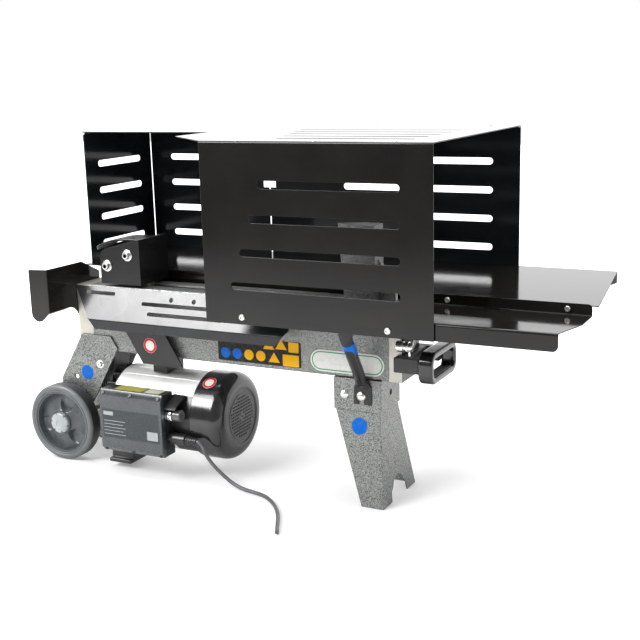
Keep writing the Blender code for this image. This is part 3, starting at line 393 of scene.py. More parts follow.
def lathe(axis, centre, profile, steps=64, shape=None):
    """A closed profile of (along, radius) points spun round an axis; shape may vary it by angle."""
    mesh = bmesh.new()
    rings = []
    for i in range(steps):
        angle = 2 * math.pi * i / steps
        section = [shape(a, r, angle) if shape else (a, r) for a, r in profile]
        rings.append([mesh.verts.new(Vector(centre) + Vector(PLACE[axis](
            r * math.cos(angle), r * math.sin(angle), a))) for a, r in section])
    for i, ring in enumerate(rings):
        for j in range(len(ring)):
            mesh.faces.new((rings[i - 1][j - 1], rings[i - 1][j], ring[j], ring[j - 1]))
    bmesh.ops.remove_doubles(mesh, verts=mesh.verts, dist=0.0005)
    flat = [face for face in mesh.faces if face.calc_area() < 1e-7]
    bmesh.ops.delete(mesh, geom=flat, context="FACES_ONLY")
    loose = [edge for edge in mesh.edges if not edge.link_faces]
    bmesh.ops.delete(mesh, geom=loose, context="EDGES")
    return mesh


def loft(sections, closed=False):
    """Skin through rings with equal counts of points, capped unless the rings close on themselves."""
    mesh = bmesh.new()
    rings = [[mesh.verts.new(point) for point in section] for section in sections]
    pairs = list(zip(rings, rings[1:])) + ([(rings[-1], rings[0])] if closed else [])
    for low, high in pairs:
        for i in range(len(low)):
            mesh.faces.new((low[i - 1], low[i], high[i], high[i - 1]))
    if not closed:
        mesh.faces.new(rings[0][::-1])
        mesh.faces.new(rings[-1])
    return mesh


def smooth_path(points, steps):
    """Catmull-Rom points through the given ones."""
    pts = [Vector(p) for p in points]
    pts = [2 * pts[0] - pts[1]] + pts + [2 * pts[-1] - pts[-2]]
    path = []
    for a, b, c, d in zip(pts, pts[1:], pts[2:], pts[3:]):
        for i in range(steps):
            t = i / steps
            path.append(0.5 * (2 * b + (c - a) * t + (2 * a - 5 * b + 4 * c - d) * t * t
                               + (3 * b - a - 3 * c + d) * t ** 3))
    path.append(pts[-2])
    return path


def tube(path, radius, side, steps=20):
    """A round tube along a path; side is any direction that the path never follows."""
    sections = []
    for i, point in enumerate(path):
        ahead = path[min(i + 1, len(path) - 1)] - path[max(i - 1, 0)]
        up = ahead.cross(Vector(side)).normalized()
        across = up.cross(ahead).normalized()
        angles = [2 * math.pi * j / steps for j in range(steps)]
        sections.append([point + (across * math.cos(a) + up * math.sin(a)) * radius for a in angles])
    return loft(sections)


def join(mesh, other, matrix=Matrix.Identity(4)):
    """Add another closed body to a mesh."""
    other.transform(matrix)
    holder = bpy.data.meshes.new("holder")
    other.to_mesh(holder)
    other.free()
    mesh.from_mesh(holder)
    bpy.data.meshes.remove(holder)
    return mesh


def fold_on(mesh, pivot, axis, angle, run, steps=5):
    """Bend the sheet on from its top edge face round a pivot, then run it on straight."""
    top = max(mesh.faces, key=lambda f: (round(f.calc_center_median().z, 2), abs(f.normal.z)))
    for i in range(steps + (1 if run else 0)):
        pushed = bmesh.ops.extrude_face_region(mesh, geom=[top])["geom"]
        verts = [item for item in pushed if isinstance(item, bmesh.types.BMVert)]
        top = next(item for item in pushed if isinstance(item, bmesh.types.BMFace))
        if i < steps:
            turn = Matrix.Rotation(math.radians(angle) / steps, 3, axis)
            bmesh.ops.rotate(mesh, verts=verts, cent=Vector(pivot), matrix=turn)
        else:
            ahead = Matrix.Rotation(math.radians(angle), 3, axis) @ Vector((0, 0, 1))
            bmesh.ops.translate(mesh, verts=verts, vec=ahead * run)
    return mesh


# ---------------------------------------------------------------- pieces

def make_object(name, mesh):
    """A Blender object from a mesh in millimetres, moved to the frame's own place and scale."""
    mesh.transform(Matrix.Translation(HOME) @ Matrix.Scale(MM, 4))
    data = bpy.data.meshes.new(name)
    mesh.to_mesh(data)
    mesh.free()
    if "custom_normal" in data.attributes:
        data.attributes.remove(data.attributes["custom_normal"])
    piece = bpy.data.objects.new(name, data)
    bpy.context.scene.collection.objects.link(piece)
    return piece


def freeze(piece):
    """Put the piece's modifiers into its mesh."""
    graph = bpy.context.evaluated_depsgraph_get()
    made = bpy.data.meshes.new_from_object(piece.evaluated_get(graph))
    piece.modifiers.clear()
    piece.data = made


def carve(piece, cutter):
    """Cut a closed mesh in millimetres out of a piece."""
    bmesh.ops.recalc_face_normals(cutter, faces=cutter.faces)
    tool = make_object("tool", cutter)
    cut = piece.modifiers.new("cut", "BOOLEAN")
    cut.object = tool
    cut.solver = "EXACT"
    freeze(piece)
    bpy.data.objects.remove(tool, do_unlink=True)


def round_edges(piece, bevel, segments, smooth):
    """Edges sharper than the smooth angle get a bevel; large flat faces stay flat to the eye."""
    piece.data.shade_smooth()
    piece.data.set_sharp_from_angle(angle=math.radians(smooth))
    if bevel:
        rounded = piece.modifiers.new("rounded", "BEVEL")
        rounded.width = bevel * MM
        rounded.segments = segments
        rounded.limit_method = "ANGLE"
        rounded.angle_limit = math.radians(smooth)
    even = piece.modifiers.new("even", "WEIGHTED_NORMAL")
    even.weight = 100
    even.keep_sharp = True
    freeze(piece)


def add_piece(name, mesh, finish, node=None, bevel=None, segments=2, smooth=35, cutters=(), accent=None,
              slot=None):
    """A mesh in millimetres becomes a piece that stands for a CAD node, or that adds to the frame.

    accent is (finish, test on a face's centre and normal) for faces that take a second finish.
    """
    bmesh.ops.recalc_face_normals(mesh, faces=mesh.faces)
    piece = make_object(name, mesh)
    for cutter in cutters:
        carve(piece, cutter)
    piece.data.materials.clear()
    piece.data.materials.append(finish)
    round_edges(piece, bevel, segments, smooth)
    if accent:
        second, test = accent
        piece.data.materials.append(second)
        for face in piece.data.polygons:
            if test((face.center - HOME) / MM, face.normal):
                face.material_index = 1
    slot or SLOT_OF.get(finish.name, "black_sheet")
    if node:
        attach(piece, frame["nodes"][node]["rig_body"])
        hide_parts(node)
    else:
        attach(piece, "frame")


def cad_mesh(node, flat=True):
    """A CAD node's mesh in this script's millimetres, welded, with its flat faces whole."""
    mesh = bmesh.new()
    mesh.from_mesh(frame["nodes"][node].data)
    mesh.transform(Matrix.Scale(1 / MM, 4) @ Matrix.Translation(-HOME))
    bmesh.ops.remove_doubles(mesh, verts=mesh.verts, dist=0.01)
    if flat:
        bmesh.ops.dissolve_limit(mesh, angle_limit=math.radians(0.5), verts=mesh.verts, edges=mesh.edges)
    return mesh


def dress(node, finish, bevel=EDGE, segments=2, bends=None, accent=None, slot=None):
    """A CAD node's own shape with rounded edges; bends is (test on an edge's middle, radius)."""
    mesh = cad_mesh(node)
    if bends:
        test, radius = bends
        edges = [e for e in mesh.edges if len(e.link_faces) == 2 and e.calc_face_angle(0) > 0.6
                 and test((e.verts[0].co + e.verts[1].co) / 2)]
        bmesh.ops.bevel(mesh, geom=edges, offset=radius, offset_type="OFFSET", segments=5, profile=0.5,
                        affect="EDGES", clamp_overlap=True)
    add_piece(f"{node}_finished", mesh, finish, node, bevel, segments, accent=accent, slot=slot)


def repaint(node, finish):
    """A CAD node that is shown as it is, with a procedural finish."""
    materials = frame["nodes"][node].data.materials
    materials.clear()
    materials.append(finish)


def face_loops(node, axis, level):
    """Closed outlines of the CAD sheet's face at this level across the axis, longest first."""
    mesh = cad_mesh(node, flat=False)
    u, v, w = ACROSS[axis]
    inside = {face for face in mesh.faces
              if abs(face.normal[w]) > 0.99 and abs(face.calc_center_median()[w] - level) < 0.05}
    rim = [e for e in mesh.edges if sum(f in inside for f in e.link_faces) == 1]
    beside = {}
    for edge in rim:
        for a, b in (edge.verts, reversed(edge.verts)):
            beside.setdefault(a, []).append(b)
    loops = []
    left = set(beside)
    while left:
        here = min(left, key=lambda vert: vert.index)
        loop = []
        while here is not None:
            loop.append((here.co[u], here.co[v]))
            left.discard(here)
            here = next((n for n in beside[here] if n in left), None)
        loops.append(straight_points(loop))
    mesh.free()
    return sorted(loops, key=lambda loop: min(p[0] for p in loop) - max(p[0] for p in loop))


def straight_points(loop):
    """The loop without the points that lie on a straight stretch."""
    kept = []
    for i, here in enumerate(loop):
        a = Vector(here) - Vector(loop[i - 1])
        b = Vector(loop[(i + 1) % len(loop)]) - Vector(here)
        if abs(a.x * b.y - a.y * b.x) > 0.01 * a.length * b.length:
            kept.append(here)
    return kept


def sheet_panel(node, axis, level, inward, bend, run, top):
    """A flat CAD sheet with smooth openings, its top edge folded inwards and run on."""
    loops = face_loops(node, axis, level)
    outline = straight_points([(u, min(v, top - bend)) for u, v in loops[0]])
    mesh = prism(axis, outline, (level, level + inward * SHEET), [fine_opening(loop) for loop in loops[1:]])
    pivot = PLACE[axis](0, top - bend, level + inward * bend)
    if axis == "y":
        return fold_on(mesh, pivot, "X", -90 * inward, run)
    return fold_on(mesh, pivot, "Y", 90 * inward, run)


def fastener(mesh, centre, towards, radius, height, drive="cross", washer=0.0):
    """Join a screw head to a mesh: domed, with a cross or hexagon recess, facing towards."""
    recess = radius * (0.55 if drive == "hex" else 0.5)
    depth = height * 0.6
    dome = [(height * math.sin(a), radius * (0.72 + 0.28 * math.cos(a)))
            for a in (math.radians(t) for t in (0, 20, 40, 60, 80))]
    profile = [(-0.2, 0), (-0.2, radius)] + dome
    profile += [(height, recess), (height - depth, recess * 0.92), (height - depth, 0)]

    def shape(a, r, angle):
        if r > recess + 0.001 or a < height - depth - 0.001:
            return a, r
        if drive == "hex":
            return a, hexagon(r, angle)
        return a, r * (0.30 + 0.70 * abs(math.cos(2 * angle)) ** 4)

    turn = Vector((0, 0, 1)).rotation_difference(Vector(towards)).to_matrix().to_4x4()
    place = Matrix.Translation(Vector(centre)) @ turn
    join(mesh, lathe("z", (0, 0, washer), profile, 48, shape), place)
    if washer:
        inner, outer = radius * 0.4, radius * 1.4
        ring = [(0, inner), (washer, inner), (washer, radius * 1.32), (washer * 0.7, outer), (0, outer)]
        join(mesh, lathe("z", (0, 0, 0), ring, 40), place)
    return mesh


def fasteners(name, places, towards, radius, height, finish=ZINC, drive="cross", washer=0.0):
    """One piece with the same screw head at each place."""
    mesh = bmesh.new()
    for centre in places:
        fastener(mesh, centre, towards, radius, height, drive, washer)
    add_piece(name, mesh, finish, smooth=30)


# ---------------------------------------------------------------- guard and tables

FRONT_Y = limits("hood_front")[0].y
BACK_Y = limits("back_panel_left")[1].y
LEFT_X = limits("left_panel")[0].x
PANEL_TOP = limits("hood_front")[1].z
COVER_TOP = limits("hood_top")[1].z
HOOD_BEND = 4.4
PANEL_BEND = 3.0
PANEL_RETURN = 12.0                             # width of the rear panels' folded top edges
RIVET_INSET = 12.0
PANEL_LAP = 5.0                                 # how far the rear panels hang behind the table's edge


def build_hood():
    front = sheet_panel("hood_front", "y", FRONT_Y, 1, HOOD_BEND, 0.0, COVER_TOP)
    add_piece("hood_front_sheet", front, BLACK_SHEET, "hood_front", EDGE)
    loops = face_loops("hood_top", "z", COVER_TOP)
    seam = FRONT_Y + HOOD_BEND + 0.2
    outline = [(x, max(y, seam)) for x, y in loops[0]]
    cover = prism("z", outline, (COVER_TOP - SHEET, COVER_TOP), [fine_opening(loop) for loop in loops[1:]])
    add_piece("hood_top_sheet", cover, BLACK_SHEET, "hood_top", EDGE)
    dress("rear_top", BLACK_SHEET)

    panels = [(node, sheet_panel(node, "y", BACK_Y, -1, PANEL_BEND, PANEL_RETURN, PANEL_TOP))
              for node in ("back_panel_left", "back_panel_right")]
    panels.append(("left_panel",
                   sheet_panel("left_panel", "x", LEFT_X, 1, PANEL_BEND, PANEL_RETURN, PANEL_TOP)))
    for node, mesh in panels:
        for vert in mesh.verts:
            if vert.co.z < limits(node)[0].z + 0.5:
                vert.co.z = limits("far_table")[1].z - PANEL_LAP
        # The rear and left panels take the bluish copy of the coat: a painted sheen.
        add_piece(f"{node}_sheet", mesh, BLUE_SHEEN_SHEET, node, EDGE)

    seam_end = limits("hood_top")[0].x + RIVET_INSET
    rivets = [(x, FRONT_Y + RIVET_INSET, COVER_TOP) for x in (85, 238, 390)]
    rivets += [(x, BACK_Y - RIVET_INSET, COVER_TOP) for x in (-380, -172, -47, 150, 400)]
    rivets += [(x, 92, COVER_TOP) for x in (-95, seam_end)]
    fasteners("hood_top_rivets", rivets, (0, 0, 1), 4.2, 1.6)
    fasteners("left_panel_screw", [(LEFT_X - 0.05, 165, PANEL_TOP - RIVET_INSET)], (-1, 0, 0), 4.0, 1.6)


def build_tables():
    """Near table: upright flange along the far table, tray, folded front edge and cut corners."""
    low, high = limits("near_table")
    flange_y, shelf, front = -1, 381.0, low.y
    section = sheet_section([(flange_y, high.z), (flange_y, shelf), (front, shelf), (front, low.z)])
    mesh = prism("x", section, (low.x, high.x))
    beam_gap = box((0, 345), (-26, 5), (shelf - 10, high.z + 5))
    end, radius = 670.0, 10
    tray_corner = prism("z", [(high.x + 2, -61), (high.x + 2, -160), (end, -160), (end, -140)], (340, 410))
    fold_corner = [(end + 2, 345), (end + 2, 360)]
    fold_corner += arc((end - radius, 360), radius, 0, -90) + [(end - radius, 345)]
    flange_corner = [(high.x + 1, high.z - 8)] + arc((high.x - 8, high.z - 8), 8, 0, 90)
    flange_corner.append((high.x + 1, high.z + 1))
    cutters = (beam_gap, tray_corner, prism("y", fold_corner, (front - 5, front + 5)),
               prism("y", flange_corner, (-6, 2)))
    add_piece("near_table_sheet", mesh, BLACK_SHEET, "near_table", EDGE, cutters=cutters)
    # The far table's faces turned to +X take the dull copy of the coat: painted shade on its end.
    dress("far_table", BLACK_SHEET, accent=(DULL_END_SHADE, lambda centre, normal: normal.x > 0.5))
    flange_screws = [(x, flange_y - SHEET - 0.1, 391) for x in (430, 648)]
    fasteners("table_flange_screws", flange_screws, (0, -1, 0), 5.4, 3.2, drive="hex")
    bolts = [(87.5, FRONT_Y, 363.5), (376, FRONT_Y, 362)]
    fasteners("hood_bolts", bolts, (0, -1, 0), 6.2, 3.4, drive="hex")


def build_trough():
    """Leaning trough side with a folded lower edge, long slots, two holes and slanted ends."""
    low, high = limits("trough_plate")
    section = sheet_section([(-60, high.z), (-90, 316), (-90, low.z)], 4.0)
    through, half_slot = (-110, -45), 3.5
    slots = (((-335, -261), 367), ((-192, 20), 353), ((-174, 0), 335))
    cutters = [prism("y", slot(x, (z - half_slot, z + half_slot)), through) for x, z in slots]
    cutters += [prism("y", circle((x, 364), 4.6), through) for x in (-124, -71)]
    right_end = [(high.x - 34, 290), (high.x + 4, 290), (high.x + 4, 332)]
    left_end = [(low.x - 11, 290), (low.x + 70, 290), (low.x, 378), (low.x - 11, 378)]
    cutters += [prism("y", outline, through) for outline in (right_end, left_end)]
    mesh = prism("x", section, (low.x, high.x))
    # The trough takes the rougher copy of the coat, tinted blue for a painted sheen.
    add_piece("trough_sheet", mesh, ROUGH_SHEEN_SHEET, "trough_plate", EDGE, cutters=cutters)


def build_lever_guard():
    low, high = limits("lever_guard")
    dress("lever_guard", BLACK_SHEET,
          bends=(lambda p: abs(p.y - low.y) < 0.1 and abs(p.x - high.x) < 0.1, 3.0))
    fasteners("guard_screw", [(high.x - 2.55, 30, 386)], (-1, 0, 0), 5.5, 3.0)
    dress("control_lever", BLACK_STEEL, 1.2)
    radius, neck = 13, 6.0
    angles = [math.radians(t) for t in range(-90, 60, 10)]
    ball = [(-radius * math.sin(a), radius * math.cos(a)) for a in angles] + [(-12.8, neck), (-12.8, 0)]
    knob = lathe("y", middle("lever_knob"), ball, 48)
    add_piece("lever_knob_ball", knob, GLOSS_PLASTIC, "lever_knob", smooth=40)


# ---------------------------------------------------------------- beam, ram, wedge

def build_vent():
    """Plated vent cap with its neck, on the front corner of the end block."""
    x, y, z = limits("end_block")[1].x - 5, -54.0, 311.0
    cap = [(0, 0), (0, 9), (1, 10), (13, 10), (14, 9), (14.5, 7.5), (19, 7.5), (19.5, 10), (24, 10),
           (24.5, 8), (30, 8), (32, 6), (32, 0)]
    vent = lathe("x", (x, y, z), cap, 48)
    join(vent, prism("x", rounded_rectangle((y + 2, -42.5), (z - 6, z + 6), 2), (x + 5.5, x + 12)))
    add_piece("vent_cap", vent, ZINC, bevel=0.3)
    pin = tube([Vector((x + 22, y + 6, z - i)) for i in (34, 30, 12, 6)], 2.2, (1, 0, 0), 20)
    join(pin, lathe("z", (x + 22, y + 6, z - 37), [(0, 2.4), (0, 5), (1.5, 6), (3, 5), (3, 2.4)], 32))
    add_piece("vent_pin", pin, CHROME)


PUSHER_BOLTS = ((-288.0, 421.0), (-236.0, 445.0))


def build_beam():
    dress("beam", HAMMERED,
          bends=(lambda p: 42.9 < abs(p.y) and (p.z < 238.1 or p.z > 377.9), 4.0))
    # Painted shade: the end block's faces turned to +X take the satin black finish, for the shade on that
    # side.
    dress("end_block", BARE_STEEL, 0.8, accent=(BLACK_STEEL, lambda centre, normal: normal.x > 0.9))
    build_vent()
    dress("valve_block", CAST, 1.5)
    dress("wedge", HAMMERED, 0.8)
    low, high = limits("drain_plug")
    collar, hex_from, hex_corner = 357.3, 12, 10.5
    flats = lambda a, r, angle: (a, r if r < hex_corner or a < hex_from else hexagon(r, angle))
    plug = [(low.x, 0), (low.x, 6.5), (collar, 6.5), (collar, 13), (362, 13), (363, 12), (363, 11.2),
            (371, 11.2), (372, 10), (high.x, 8), (high.x, 0)]
    centre = middle("drain_plug")
    mesh = lathe("x", (0, centre.y, centre.z), plug, 48, flats)
    add_piece("drain_plug_turned", mesh, ZINC, "drain_plug")


def tongue_sections(low, high):
    """Rings of the deflector: rounded in plan at its tip and rising from there to the pusher."""
    tip_z, root_z, half_width, thick, tip_part = 446.0, 470.0, 30.0, 5, 0.16
    tip, root = low.x - 33, high.x - 12.5
    for i in range(15):
        t = i / 14
        x = tip + (root - tip) * t
        z = tip_z + (root_z - tip_z) * (1 - (1 - min(1.0, t * 1.5)) ** 2)
        half = half_width
        if t <= tip_part:
            half *= math.sqrt(max(0.25, 1 - ((tip_part - t) / 0.185) ** 2))
        yield [(x, -half, z), (x, half, z), (x, half, z + thick), (x, -half, z + thick)]


def build_pusher():
    dress("pusher_box", BLACK_STEEL, 1.2)
    tongue = loft(list(tongue_sections(*limits("pusher_box"))))
    add_piece("pusher_tongue", tongue, BLACK_STEEL, "pusher_deflector", 1.4, 3)

    side_y, shank = 50.2, 5.4
    for name, (x, z) in zip(("pusher_bolt_rear", "pusher_bolt_front"), PUSHER_BOLTS):
        mesh = lathe("y", (x, 0, z), [(-side_y, 0), (side_y, 0), (side_y, shank), (-side_y, shank)], 40)
        for side in (-1, 1):
            fastener(mesh, (x, side * side_y, z), (0, side, 0), 8.2, 7.6, "hex", 1.2)
        # Painted shade: the faces inside each head's hex recess take the satin black finish, for the shade
        # in the recess.
        in_shaded_recess = lambda at, normal: math.hypot(at.x - x, at.z - z) < 4.4 and abs(at.y) > side_y + 0.8
        add_piece(f"{name}_set", mesh, ZINC, name, smooth=30, accent=(BLACK_STEEL, in_shaded_recess))

    for node, finish in (("cylinder_tube", BARE_STEEL), ("cylinder_gland", CAST), ("piston", BARE_STEEL),
                         ("piston_rod", POLISHED), ("valve_spool", POLISHED)):
        repaint(node, finish)
    dress("ram_slide", BARE_STEEL, 1.0)


# ---------------------------------------------------------------- motor, pump, switch box

MOTOR_Z = middle("motor_body").z
MOTOR_R = (limits("motor_body")[1].y - limits("motor_body")[0].y) / 2
GROOVES = [45 + 6.5 * i for i in range(9)] + [116, 152] + [234 + 9.0 * i for i in range(18)]


def motor_outline(radius):
    """Round extruded body with narrow grooves: fine ribs on top, a broad plain flank in front."""
    points = []
    for groove, following in zip(GROOVES, GROOVES[1:] + [GROOVES[0] + 360]):
        for degrees, drop in ((-0.8, 0.0), (-0.6, 2.4), (0.6, 2.4), (0.8, 0.0)):
            points.append((groove + degrees, radius - drop))
        plain = following - groove - 1.6
        steps = max(2, int(plain / 3))
        points += [(groove + 0.8 + plain * i / steps, radius) for i in range(1, steps)]
    return [(r * math.cos(math.radians(a)), MOTOR_Z + r * math.sin(math.radians(a))) for a, r in points]


def ring_of(mesh, count, first, part):
    """Join equal parts to a mesh, evenly round the motor's axis; part() makes one at angle 0."""
    for i in range(count):
        turn = Matrix.Rotation(math.radians(360 / count * i + first), 4, "X")
        join(mesh, part(), Matrix.Translation((0, 0, MOTOR_Z)) @ turn)
    return mesh


def build_end_bell():
    low, high = limits("motor_end_bell")
    rim, corner, bore = MOTOR_R - 1.5, 19, 7.6
    bell = [(low.x, bore), (high.x, bore), (high.x, rim)]
    bell += [(a, r) for r, a in arc((rim - corner, low.x + 24), corner, 0, 90, 8)]
    bell += [(low.x + 3, rim - 24), (low.x, rim - 26), (low.x, 28), (low.x + 3, 26), (low.x + 3, 18),
             (low.x, 16)]
    add_piece("motor_end_bell_cast", lathe("x", (0, 0, MOTOR_Z), bell, 80), DARK_CAST, "motor_end_bell",
              smooth=40)
    ribs = ring_of(bmesh.new(), 20, 9, lambda: prism(
        "x", rectangle((-1.2, 1.2), (rim - 30, rim - 1.0)), (low.x + 3, high.x - 1)))
    add_piece("end_bell_ribs", ribs, DARK_CAST, bevel=0.4)
    spots = [math.radians(a) for a in (45, 80, 115, 150, 270, 315)]
    across = rim - 8
    places = [(low.x + 9.0, across * math.cos(a), MOTOR_Z + across * math.sin(a)) for a in spots]
    fasteners("end_bell_screws", places, (-1, 0, 0), 4.6, 5.0, DARK_SCREW, "hex", 1.0)


def build_pump():
    dress("pump_housing", DARK_CAST, 2.0, 3)
    low = limits("pump_housing")[0]
    fins = bmesh.new()
    for i in range(5):
        x = low.x + 3.5 + 5.5 * i
        side = [(low.y - 5, MOTOR_Z - 28), (low.y + 1, MOTOR_Z - 31), (low.y + 1, MOTOR_Z + 58),
                (low.y - 5, MOTOR_Z + 52)]
        join(fins, prism("x", side, (x - 1.1, x + 1.1)))
    add_piece("pump_fins", fins, DARK_CAST, bevel=0.5)


def build_motor():
    low, high = limits("motor_body")
    bore = circle((0, MOTOR_Z), MOTOR_R - 12, 72)
    mesh = prism("x", motor_outline(MOTOR_R), (low.x, high.x), [bore])
    add_piece("motor_body_extrusion", mesh, ALLOY, "motor_body", 0.3, smooth=30)
    build_end_bell()
    for node, finish in (("stator_core", IRON), ("rotor", IRON), ("cooling_fan", BLACK_PLASTIC),
                         ("pump_drive_gear", POLISHED), ("pump_driven_gear", POLISHED)):
        repaint(node, finish)
    build_pump()
    dress("motor_saddle", BLACK_STEEL, 1.2)
    dress("motor_foot", BLACK_PLASTIC, 1.5, slot="foot_rubber")


def build_motor_flank_band():
    """Black band laid round the motor's flank between the switch box and the fan cover, with a slanted lip
    over the button.
    """
    x = limits("switch_box")[1].x
    inner, outer, top, bottom = MOTOR_R + 0.3, MOTOR_R + 2.6, 142, 232
    outline = arc((0, MOTOR_Z), outer, top, bottom, 30) + arc((0, MOTOR_Z), inner, bottom, top, 30)
    skirt = prism("x", outline, (x - 6, limits("fan_cover")[0].x - 0.3))
    centre = middle("push_button")
    near, far = centre.y - 16, centre.y - 8
    awning = [(-MOTOR_R + 12, centre.z + 36), (far, centre.z + 24), (near, centre.z + 17),
              (near, centre.z + 14), (far, centre.z + 20.5), (-MOTOR_R + 9, centre.z + 31)]
    join(skirt, prism("x", awning, (x + 0.3, x + 29)))
    add_piece("motor_flank_band", skirt, BLACK_PLASTIC, bevel=0.5)


def build_fan_cover():
    """Round moulding with a soft shoulder and a grid of square vents inside a raised ring."""
    low, high = limits("fan_cover")
    x0, x1, radius, wall, shoulder, lip = low.x, high.x, (high.y - low.y) / 2, 2.5, 26.0, 1.5
    face, grid_face, ring = x1 - 2.0, x1 - 0.8, 57
    outer = arc((radius - shoulder, x1 - shoulder), shoulder, 0, 84, 14)
    inner = arc((radius - shoulder, x1 - shoulder), shoulder - wall, 84, 0, 14)
    profile = [(x0, radius - 2)] + [(a, r) for r, a in arc((radius - lip, x0 + lip), lip, -60, 0, 3) + outer]
    profile += [(x1 - 0.1, 61.5), (x1, 60.5), (x1, 58.0), (x1 - 0.4, 57.3), (face, 56.5), (face, 48),
                (grid_face, 47), (grid_face, 0), (face - wall, 0), (face - wall, ring)]
    profile += [(a, r) for r, a in inner] + [(x0, radius - 2 - wall)]
    mesh = lathe("x", (0, 0, MOTOR_Z), profile, 112)
    pitch, half, count, grid_radius = 6.6, 2.05, 6, 43.5
    vents = bmesh.new()
    for row in range(-count, count + 1):
        for column in range(-count, count + 1):
            y, z = column * pitch, MOTOR_Z + row * pitch
            if pitch < math.hypot(column, row) * pitch < grid_radius or (row, column) == (0, 0):
                join(vents, box((x1 - 9, x1 + 4), (y - half, y + half), (z - half, z + half)))
    # The end face takes the lighter satin copy, whose lighter grey is a painted reflection.
    on_face = lambda centre, normal: centre.x > x1 - 5 and math.hypot(centre.y, centre.z - MOTOR_Z) < 61
    add_piece("fan_cover_moulding", mesh, GLOSS_PLASTIC, "fan_cover", smooth=38, cutters=(vents,),
              accent=(COVER_FACE_SHEEN, on_face))


def build_switch_box():
    dress("switch_box", BLACK_PLASTIC, 1.5, 3)
    low, high = limits("switch_box_lid")
    rim = high.y - 4
    section = [(high.y, low.z), (high.y, high.z), (rim, high.z), (low.y, high.z - 15), (low.y, low.z + 9),
               (rim, low.z)]
    mesh = prism("x", section, (low.x, high.x))
    add_piece("switch_box_lid_moulding", mesh, GREY_PLASTIC, "switch_box_lid", 1.4, 4)
    xs = (low.x + 8, (low.x + high.x) / 2, high.x - 8)
    for name, z, slant in (("top", high.z - 8, (-15, 8)), ("bottom", low.z + 4.8, (-9, -8))):
        places = [(x, low.y + 4.2, z) for x in xs]
        fasteners(f"lid_screws_{name}", places, Vector((0, *slant)).normalized(), 4.2, 2.4, DARK_SCREW)


def build_start_button():
    low, high = limits("button_bezel")
    centre = middle("button_bezel")
    centre.x = 0
    hole, inner, outer = 12.2, 13.4, 14.4
    ring = [(low.x, hole), (high.x - 1, hole), (high.x, 13.0), (high.x, 13.6), (high.x - 1.2, 14.2),
            (high.x - 4, outer), (high.x - 4.6, 13.6), (high.x - 6.4, 13.6), (high.x - 7, outer),
            (low.x + 1.1, outer), (low.x + 1.1, inner), (low.x, inner)]
    add_piece("button_bezel_turned", lathe("x", centre, ring, 72), CHROME, "button_bezel", smooth=30)
    low, high = limits("push_button")
    stem, head, corner = 5, 11.8, 2.4
    cap = [(low.x, 0), (low.x, stem), (high.x - 26, stem), (high.x - 26, head)]
    cap += [(a, r) for r, a in arc((head - corner, high.x - corner), corner, 0, 75, 6)]
    cap += [(high.x - 0.6, 6), (high.x - 0.9, 0)]
    add_piece("push_button_cap", lathe("x", centre, cap, 64), BUTTON_PLASTIC, "push_button")


def build_cable():
    """Ribbed gland out of the switch box, and the cable that bends down from it to the ground."""
    low, high = limits("cable_gland")
    centre = middle("cable_gland")
    y, z, reach = centre.y, centre.z, high.x - low.x
    flats = lambda a, r, angle: (a, r if r < 12 or a > 12 else hexagon(r, angle))
    gland = [(0, 4.2), (reach, 4.2), (reach, 5.6), (reach - 1, 6.0)]
    for i in range(4):
        a, valley, ridge = reach - 4 - 5.0 * i, 0.5 * i, 0.3 * i
        gland += [(a, 6.3 + valley), (a - 1, 7.6 + ridge), (a - 3, 7.8 + ridge), (a - 4, 6.6 + valley)]
    gland += [(42, 8.6), (41, 11.2), (40, 11.5), (14, 11.5), (13, 12.9), (4, 12.9), (3, 12.2), (0, 12.2)]
    add_piece("cable_gland_nut", lathe("x", (low.x, y, z), gland, 72, flats), BLACK_PLASTIC,
              "cable_gland", smooth=30)
    start = limits("power_cable")[0].x
    side = low.x - 0.3
    lies_at = 5.2
    path = smooth_path([(start, y, z), (side + 26, y, z), (side + 48, y, z), (side + 64, y, z),
                        (-56, -97, 87), (-49, -96, 79), (-43, -95, 64), (-31, -93, 46), (-10, -92, 27),
                        (16, -93, 11), (44, -99, lies_at), (104, -118, lies_at), (157, -170, lies_at),
                        (204, -256, lies_at)], 9)
    sheath = tube(path, 3.7, (0, 1, 0.3), 24)
    add_piece("power_cable_sheath", sheath, CABLE, "power_cable", smooth=60)


# ---------------------------------------------------------------- running gear, leg, handle

AXLE_BORE, BOSS, RIM = 6.4, 17.0, 61.0
SCOOPS = [math.radians(a) for a in (74, 194, -46)]     # recesses round the hub
SCOOP_AT, SCOOP_R, SCOOP_EDGE = 43.0, 15.5, 2.5


def build_tyre(label):
    """Solid tyre: a tread with round shoulders, and a stepped bead where the hub starts."""
    node = f"tyre_{label}"
    low, high = limits(node)
    centre = middle(node)
    radius, half, shoulder = (high.z - low.z) / 2, (high.y - low.y) / 2, 7
    side = [(half - 4, 65.6), (half - 1.2, 66.2), (half - 0.5, 67.4), (half - 0.5, 68.8),
            (half - 1.6, 69.6), (half - 1.6, 70.6), (half - 0.3, 71.6), (half, 73.0)]
    side += [(a, r) for a, r in arc((half - shoulder, radius - shoulder), shoulder, 8, 82, 8)]
    side.append((half - 9, radius))
    profile = side + [(-a, r) for a, r in side[::-1]]
    on_sidewall = lambda point, normal: abs(point.y - centre.y) > half - 5.5
    add_piece(f"{node}_moulded", lathe("y", centre, profile, 120), TYRE, node, smooth=50,
              accent=(SIDEWALL, on_sidewall))
    return centre, half


